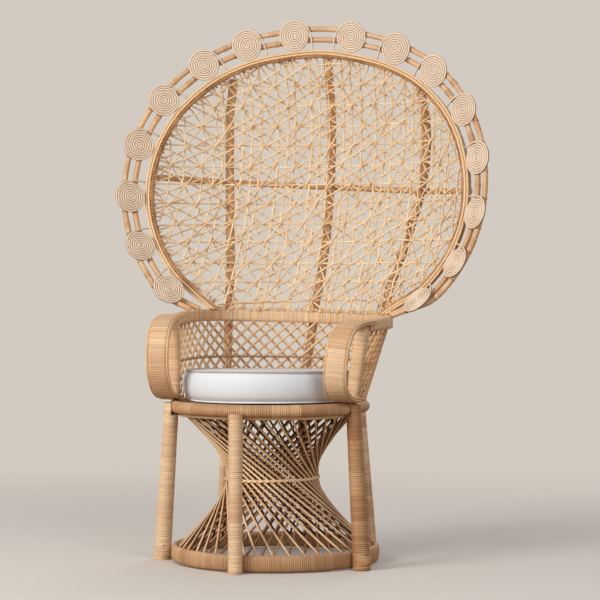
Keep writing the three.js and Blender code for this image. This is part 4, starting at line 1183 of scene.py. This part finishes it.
# Bare poles behind the fan, with the joints of the cane, and the brace tied across them
poles = {"boundTo": 404, "pitch": 4.8, "radius": 11.5, "shownRadius": 12.5, "rightFoot": 133,
         "leftFoot": 130.5, "seat": 136,
         "railSide": 212, "hold": 4, "backGap": 1.6}
sidePoleStations = {
    "right": [[740, 221], [800, 231], [893, 250], [990, 272], [1083, 287], [1150, 290], [1207, 288]],
    "left": [[740, 227], [800, 242], [893, 262], [990, 273], [1083, 278], [1150, 278], [1207, 276]],
}
sidePoleHead = {"right": 278, "left": 268}
middlePoleHeights = [740, 800, 883, 960, 1040, 1141, 1230]
poleFlat = poles["radius"] * octagonFlat


def behindRail(x):
    behind = railDense[railDense[:, 1] > 150]
    headings = np.gradient(railDense, axis=0)[railDense[:, 1] > 150]
    i = np.argmin(np.abs(behind[:, 0] - x))
    outward = unit(np.array([headings[i][1], -headings[i][0], 0]))
    if outward[1] < 0:
        outward = -outward
    return behind[i] + outward * (railSize["thick"] / 2 + 0.9 + poleFlat)


def behindShell(x, z):
    reach = shell["weaveRadius"] + poles["backGap"] + poleFlat
    return shellPoint(x, z) - shellFront(x, z) * reach


def jointed(path, radius, gaps):
    run = runOf(path)
    out = np.full(len(path), radius, float)
    joints = np.cumsum(draw.uniform(*gaps, 30))
    dark = np.zeros(len(path))
    for at in joints[joints < run[-1]]:
        out += 0.9 * np.exp(-((run - at) / 5) ** 2) - 0.5 * np.exp(-((run - at - 9) / 4) ** 2)
        dark += np.exp(-((run - at - 6) / 3) ** 2)
    return out, 1 - 0.8 * np.clip(dark, 0, 1)


def poleTop(x, z):
    high = edgeLine[edgeLine[:, 2] > 1150]
    high = high[np.argsort(high[:, 0])]
    y = np.interp(x, high[:, 0], high[:, 1])
    y = y - shell["edgeBack"] + bandBack + hoopBand["deep"] / 2 + clearance + poles["radius"]
    return np.array([x, y, z])


def makePole(name, node, footTurn, seatTurn, railX, inFan, head):
    foot = onRing(baseRing, np.float64(footTurn), baseRing["thick"] / 2 + clearance + poleFlat, 0)
    seat = onRing(seatRing, np.float64(seatTurn), seatRing["radius"] + clearance + poleFlat,
                  seatRing["height"])
    held = behindRail(railX)
    knots = [foot, foot + [0, 0, baseRing["high"]], seat,
             held + [0, 0, -railSize["tall"] / 2 - poles["hold"]],
             held + [0, 0, railSize["tall"] / 2 + clearance]]
    knots += [behindShell(x, z) for z, x in inFan] + [poleTop(*head)]
    path = paced(leaned(np.array(knots)), 4)
    radius, shadeAndJoints = jointed(path, poles["shownRadius"], (120, 260))
    pile = newPile()
    cane(pile, path, radius, 16, [1, 0, 0], tone=0.5 + 0.22 * np.sin(runOf(path) / 190), shadeAndJoints=shadeAndJoints[:, None])
    bound = path[path[:, 2] < poles["boundTo"]]
    lower = newPile()
    wrapped(lower, bound, roundOutline(poles["shownRadius"] + 0.6, 18), [1, 0, 0], poles["pitch"], 0.7,
            tilt=0.6)
    finishPiece(name + "Binding", lower, wrapCane, [])
    finishPiece(name, pile, barePole, [node])


makePole("backMiddlePole", "back_middle_pole", 180, 180, 0, [[z, 0] for z in middlePoleHeights], (0, 1372))
for sign, side, title in ((1, "right", "Right"), (-1, "left", "Left")):
    makePole("back%sPole" % title, "back_%s_pole" % side, sign * poles[side + "Foot"], sign * poles["seat"],
             sign * poles["railSide"], [[z, sign * x] for z, x in sidePoleStations[side]],
             (sign * sidePoleHead[side], 1304))

brace = {"radius": 9, "height": 1016, "poleSide": 275}
endX = edgeReach[np.argmin(np.abs(edgeAngle - math.atan2(brace["height"] - shell["middleZ"], 430)))]
endY = np.interp(0, edgeAngle, edgeDepth) + bandBack - shell["edgeBack"] + hoopBand["deep"] / 2 + clearance
end = np.array([endX + hoopBand["thick"] / 2, endY + brace["radius"], brace["height"]])
braceBack = poles["radius"] + clearance + brace["radius"]
mid = [behindShell(x, brace["height"]) - shellFront(x, brace["height"]) * braceBack
       for x in (-brace["poleSide"], 0.0, brace["poleSide"])]
path = leaned(smoothPath([mirrored(end), *mid, end], 5))
radius, shadeAndJoints = jointed(path, brace["radius"] - 0.3, (140, 300))
pile = newPile()
# the brace's raised tone is painted light, where the weave in front of it shades it
cane(pile, path, radius, 14, [0, 0, 1], tone=0.7, shadeAndJoints=shadeAndJoints[:, None])
finishPiece("fanBrace", pile, barePole, ["fan_brace"])
print("poles made")

# Cushion: a crowned round pad, swelled with the cloth solver, and its two lines of piping
cushion = {"halfWidth": 232, "halfDepth": 239, "middle": -27, "low": 427.3, "height": 86, "voxel": 0.006,
           "pressure": 4.0, "stiffness": 12, "bending": 1.5, "frames": 20, "cap": 0.006, "crown": 0.0015,
           "highShare": 0.93, "lowShare": 0.06, "tilt": 6}


def cushionBase():
    profile = np.array([  # shares of the half width and of the height
        (0.5, 0.0), (0.78, 0.0), (0.87, 0.02), (0.925, 0.08), (0.965, 0.18), (0.99, 0.34), (1.0, 0.52),
        (0.998, 0.7), (0.985, 0.84), (0.955, 0.925), (0.91, 0.965), (0.8, 0.985), (0.5, 1.0)])
    turn = np.linspace(0, 2 * np.pi, 96, endpoint=False)
    wide, deep = cushion["halfWidth"], cushion["halfDepth"]
    rows = []
    for share, rise in profile:
        level = (cushion["low"] + 1 + rise * (cushion["height"] - 5)
                 + rise * cushion["tilt"] * share * np.cos(turn))
        rows.append(np.stack([wide * share * np.sin(turn), cushion["middle"] - deep * share * np.cos(turn),
                              level], 1))
    return np.array(rows)


def makeCushion():
    rows = cushionBase()
    pile = newPile()
    addRings(pile, rows, np.zeros((1, 1, 3)), 0.5, 1.0)
    mesh = bpy.data.meshes.new("seatCushion")
    faces = [face[::-1].tolist() for kind in ("quads", "tris") for face in np.concatenate(pile[kind])]
    mesh.from_pydata(placed(np.concatenate(pile["points"])).tolist(), [], faces)
    piece = bpy.data.objects.new("seatCushion", mesh)
    bpy.context.collection.objects.link(piece)
    bpy.context.view_layer.objects.active = piece
    remesh = piece.modifiers.new("even", "REMESH")
    remesh.mode = "VOXEL"
    remesh.voxel_size = cushion["voxel"]
    bpy.ops.object.modifier_apply(modifier=remesh.name)
    start = np.array([v.co for v in piece.data.vertices])
    middle = placed([0, cushion["middle"], 0])
    away = np.hypot((start[:, 0] - middle[0]) / (cushion["halfWidth"] * 0.001),
                    (start[:, 1] - middle[1]) / (cushion["halfDepth"] * 0.001))
    rise = (start[:, 2] - cushion["low"] * 0.001) / (cushion["height"] * 0.001)
    hold = np.exp(-((rise - cushion["highShare"]) / 0.05) ** 2) * (away > 0.9)
    hold = np.maximum(hold, np.exp(-((rise - cushion["lowShare"]) / 0.07) ** 2) * (away > 0.86))
    hold = np.maximum(hold, (rise < 0.04) * 1.0)
    group = piece.vertex_groups.new(name="held")
    for i in np.nonzero(hold > 0.05)[0]:
        group.add([int(i)], float(min(hold[i], 1)), "REPLACE")
    cloth = piece.modifiers.new("swell", "CLOTH")
    cloth.settings.use_pressure = True
    cloth.settings.uniform_pressure_force = cushion["pressure"]
    cloth.settings.effector_weights.gravity = 0
    cloth.settings.vertex_group_mass = "held"
    cloth.settings.tension_stiffness = cloth.settings.compression_stiffness = cushion["stiffness"]
    cloth.settings.bending_stiffness = cushion["bending"]
    cloth.point_cache.frame_start, cloth.point_cache.frame_end = 1, cushion["frames"]
    scene = bpy.context.scene
    for number in range(1, cushion["frames"] + 1):
        scene.frame_set(number)
    shaped = piece.evaluated_get(bpy.context.evaluated_depsgraph_get())
    ended = np.array([v.co for v in shaped.data.vertices])
    piece.modifiers.remove(cloth)
    scene.frame_set(1)
    moved = ended - start
    moved[:, 2] = np.clip(moved[:, 2], -cushion["cap"], cushion["crown"])
    far = np.linalg.norm(moved, axis=1, keepdims=True)
    ended = start + moved * np.minimum(1, cushion["cap"] / np.maximum(far, 1e-9))
    ended[:, 2] = np.maximum(ended[:, 2], cushion["low"] * 0.001 + 0.0002)
    piece.data.vertices.foreach_set("co", ended.ravel())
    divide = piece.modifiers.new("divide", "SUBSURF")
    divide.levels = divide.render_levels = 1
    bpy.ops.object.modifier_apply(modifier=divide.name)
    piece.data.polygons.foreach_set("use_smooth", np.ones(len(piece.data.polygons), bool))
    piece.data.update()
    piece.data.materials.append(linen)
    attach(piece, "root")
    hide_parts("seat_cushion")
    return piece


cushionPiece = makeCushion()
cushionPoints = (np.array([v.co for v in cushionPiece.data.vertices]) - shift) * 1000


def pipingRing(name, node, share, proud, radius, material):
    slope = share * cushion["tilt"] / cushion["halfDepth"]
    height = cushion["low"] + cushion["height"] * share
    off = cushionPoints[:, 2] - height + (cushionPoints[:, 1] - cushion["middle"]) * slope
    level = cushionPoints[np.abs(off) < 5]
    angle = np.arctan2(level[:, 0], -(level[:, 1] - cushion["middle"]))
    reach = np.hypot(level[:, 0], level[:, 1] - cushion["middle"])
    bins = np.linspace(-np.pi, np.pi, 73)
    outline = np.array([reach[(angle >= a) & (angle < b)].max() for a, b in zip(bins[:-1], bins[1:])])
    outline = (np.roll(outline, 1) + outline + np.roll(outline, -1)) / 3
    middle = (bins[:-1] + bins[1:]) / 2
    turn = np.linspace(-np.pi, np.pi, 240, endpoint=False)
    far = np.interp(turn, middle, outline, period=2 * np.pi) + proud
    path = np.stack([far * np.sin(turn), cushion["middle"] - far * np.cos(turn),
                     height + slope * far * np.cos(turn) + 0.5 * np.sin(turn * 3 + share)], 1)
    pile = newPile()
    cane(pile, path, radius, 10, [0, 0, 1], True, tone=0.5)
    finishPiece(name, pile, material, [node])


pipingRing("cushionPipingTop", "cushion_piping_top", cushion["highShare"], 1.0, 2.9, linenPiping)
pipingRing("cushionPipingBottom", "cushion_piping_bottom", cushion["lowShare"], -2.6, 2.4, linen)
print("cushion made")

# Board under the cushion, kept from the solids with a planked finish
deckMaterial = bpy.data.materials.new("Deck board")
deckMaterial.use_nodes = True
deckTree = deckMaterial.node_tree
deckCoords = deckTree.nodes.new("ShaderNodeTexCoord").outputs["Object"]
deckGrain = noise(deckTree, stretched(deckTree, deckCoords, (9, 160, 60)), 1.0, 4.0)
setSockets(deckTree.nodes["Principled BSDF"], {
    "Base Color": blended(deckTree, ranged(deckTree, deckGrain, 0.35, 0.65), tint(150, 112, 74),
                          tint(196, 156, 110)),
    "Roughness": ranged(deckTree, deckGrain, 0.3, 0.7, 0.55, 0.75)})
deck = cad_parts["seat_deck"]
for materialSlot in deck.material_slots:
    materialSlot.material = deckMaterial
if not deck.material_slots:
    deck.data.materials.append(deckMaterial)

# Floor and backdrop
stageSize = {"half": 60.0}
backdropLook = {"colour": (211, 203, 193), "fadeFrom": 0.9, "fadeTo": 3.2, "light": (226, 226, 230),
                "strength": 0.45}
floorMesh = bpy.data.meshes.new("studioFloor")
edge = stageSize["half"]
floorCorners = [(-edge, -edge, 0), (edge, -edge, 0), (edge, edge, 0), (-edge, edge, 0)]
floorMesh.from_pydata(floorCorners, [], [(0, 1, 2, 3)])
floor = bpy.data.objects.new("studioFloor", floorMesh)
bpy.context.collection.objects.link(floor)
floorMaterial = bpy.data.materials.new("Pale floor")
floorMaterial.use_nodes = True
floorTree = floorMaterial.node_tree
floorSeen = floorTree.nodes.new("ShaderNodeLightPath").outputs["Is Camera Ray"]
floorPlace = floorTree.nodes.new("ShaderNodeTexCoord").outputs["Object"]
floorFar = floorTree.nodes.new("ShaderNodeVectorMath")
floorFar.operation = "LENGTH"
floorTree.links.new(floorPlace, floorFar.inputs[0])
grit = noise(floorTree, floorPlace, 40.0, 4.0)
floorShader = floorTree.nodes["Principled BSDF"]
setSockets(floorShader, {
    "Base Color": blended(floorTree, floorSeen, tint(150, 132, 116),
                          blended(floorTree, grit, tint(224, 217, 208), tint(230, 223, 214))),
    "Roughness": 0.85, "Specular IOR Level": 0.15})
floorFade = floorTree.nodes.new("ShaderNodeMixShader")
farLight = floorTree.nodes.new("ShaderNodeEmission")
setSockets(farLight, {"Color": tint(*backdropLook["colour"]), "Strength": 1.0})
setSockets(floorFade, {0: maths(floorTree, "MULTIPLY", floorSeen, ranged(
    floorTree, floorFar.outputs["Value"], backdropLook["fadeFrom"], backdropLook["fadeTo"], smooth=True))})
floorTree.links.new(floorShader.outputs[0], floorFade.inputs[1])
floorTree.links.new(farLight.outputs[0], floorFade.inputs[2])
floorTree.links.new(floorFade.outputs[0], floorTree.nodes["Material Output"].inputs["Surface"])
floorMesh.materials.append(floorMaterial)

world = bpy.data.worlds.new("Studio")
bpy.context.scene.world = world
world.use_nodes = True
worldTree = world.node_tree
backdrop = worldTree.nodes["Background"]
setSockets(backdrop, {"Color": tint(*backdropLook["light"]), "Strength": backdropLook["strength"]})
shown = worldTree.nodes.new("ShaderNodeBackground")
setSockets(shown, {"Color": tint(*backdropLook["colour"]), "Strength": 1.0})
path = worldTree.nodes.new("ShaderNodeLightPath")
chooser = worldTree.nodes.new("ShaderNodeMixShader")
seen = maths(worldTree, "MAXIMUM", path.outputs["Is Camera Ray"], path.outputs["Is Glossy Ray"])
worldTree.links.new(seen, chooser.inputs[0])
worldTree.links.new(backdrop.outputs[0], chooser.inputs[1])
worldTree.links.new(shown.outputs[0], chooser.inputs[2])
worldTree.links.new(chooser.outputs[0], worldTree.nodes["World Output"].inputs[0])

lamps = {
    "key": {"at": (-2.5, -4.1, 2.3), "size": 2.3, "power": 190, "colour": (1.0, 0.98, 0.95)},
    "fill": {"at": (3.0, -3.6, 2.0), "size": 1.8, "power": 56, "colour": (0.98, 0.98, 1.0)},
    "behind": {"at": (0.5, 3.2, 2.8), "size": 2.2, "power": 30, "colour": (1.0, 0.98, 0.96)},
}
for name, lamp in lamps.items():
    light = bpy.data.lights.new(name, "AREA")
    light.size = lamp["size"]
    light.energy = lamp["power"]
    light.color = lamp["colour"]
    holder = bpy.data.objects.new(name, light)
    bpy.context.collection.objects.link(holder)
    holder.location = lamp["at"]
    holder.rotation_euler = (Vector((0, 0, 0.75)) - Vector(lamp["at"])).to_track_quat("-Z", "Y").to_euler()

# Camera where the photograph was taken from
cameraSet = {"at": (1787.7, -5518.4, 739.0), "look": (-0.30819, 0.95133, 0.0), "lens": 129.9,
             "shiftX": 0.0452, "shiftY": -0.0272}
lens = bpy.data.cameras.new("camera")
lens.lens, lens.sensor_width = cameraSet["lens"], 36
lens.shift_x, lens.shift_y = cameraSet["shiftX"], cameraSet["shiftY"]
lens.clip_end = 100
camera = bpy.data.objects.new("camera", lens)
bpy.context.collection.objects.link(camera)
camera.location = placed(cameraSet["at"])
camera.rotation_euler = Vector(cameraSet["look"]).to_track_quat("-Z", "Y").to_euler()
bpy.context.scene.camera = camera
bpy.context.scene.view_settings.view_transform = "Standard"

print("scene ready")
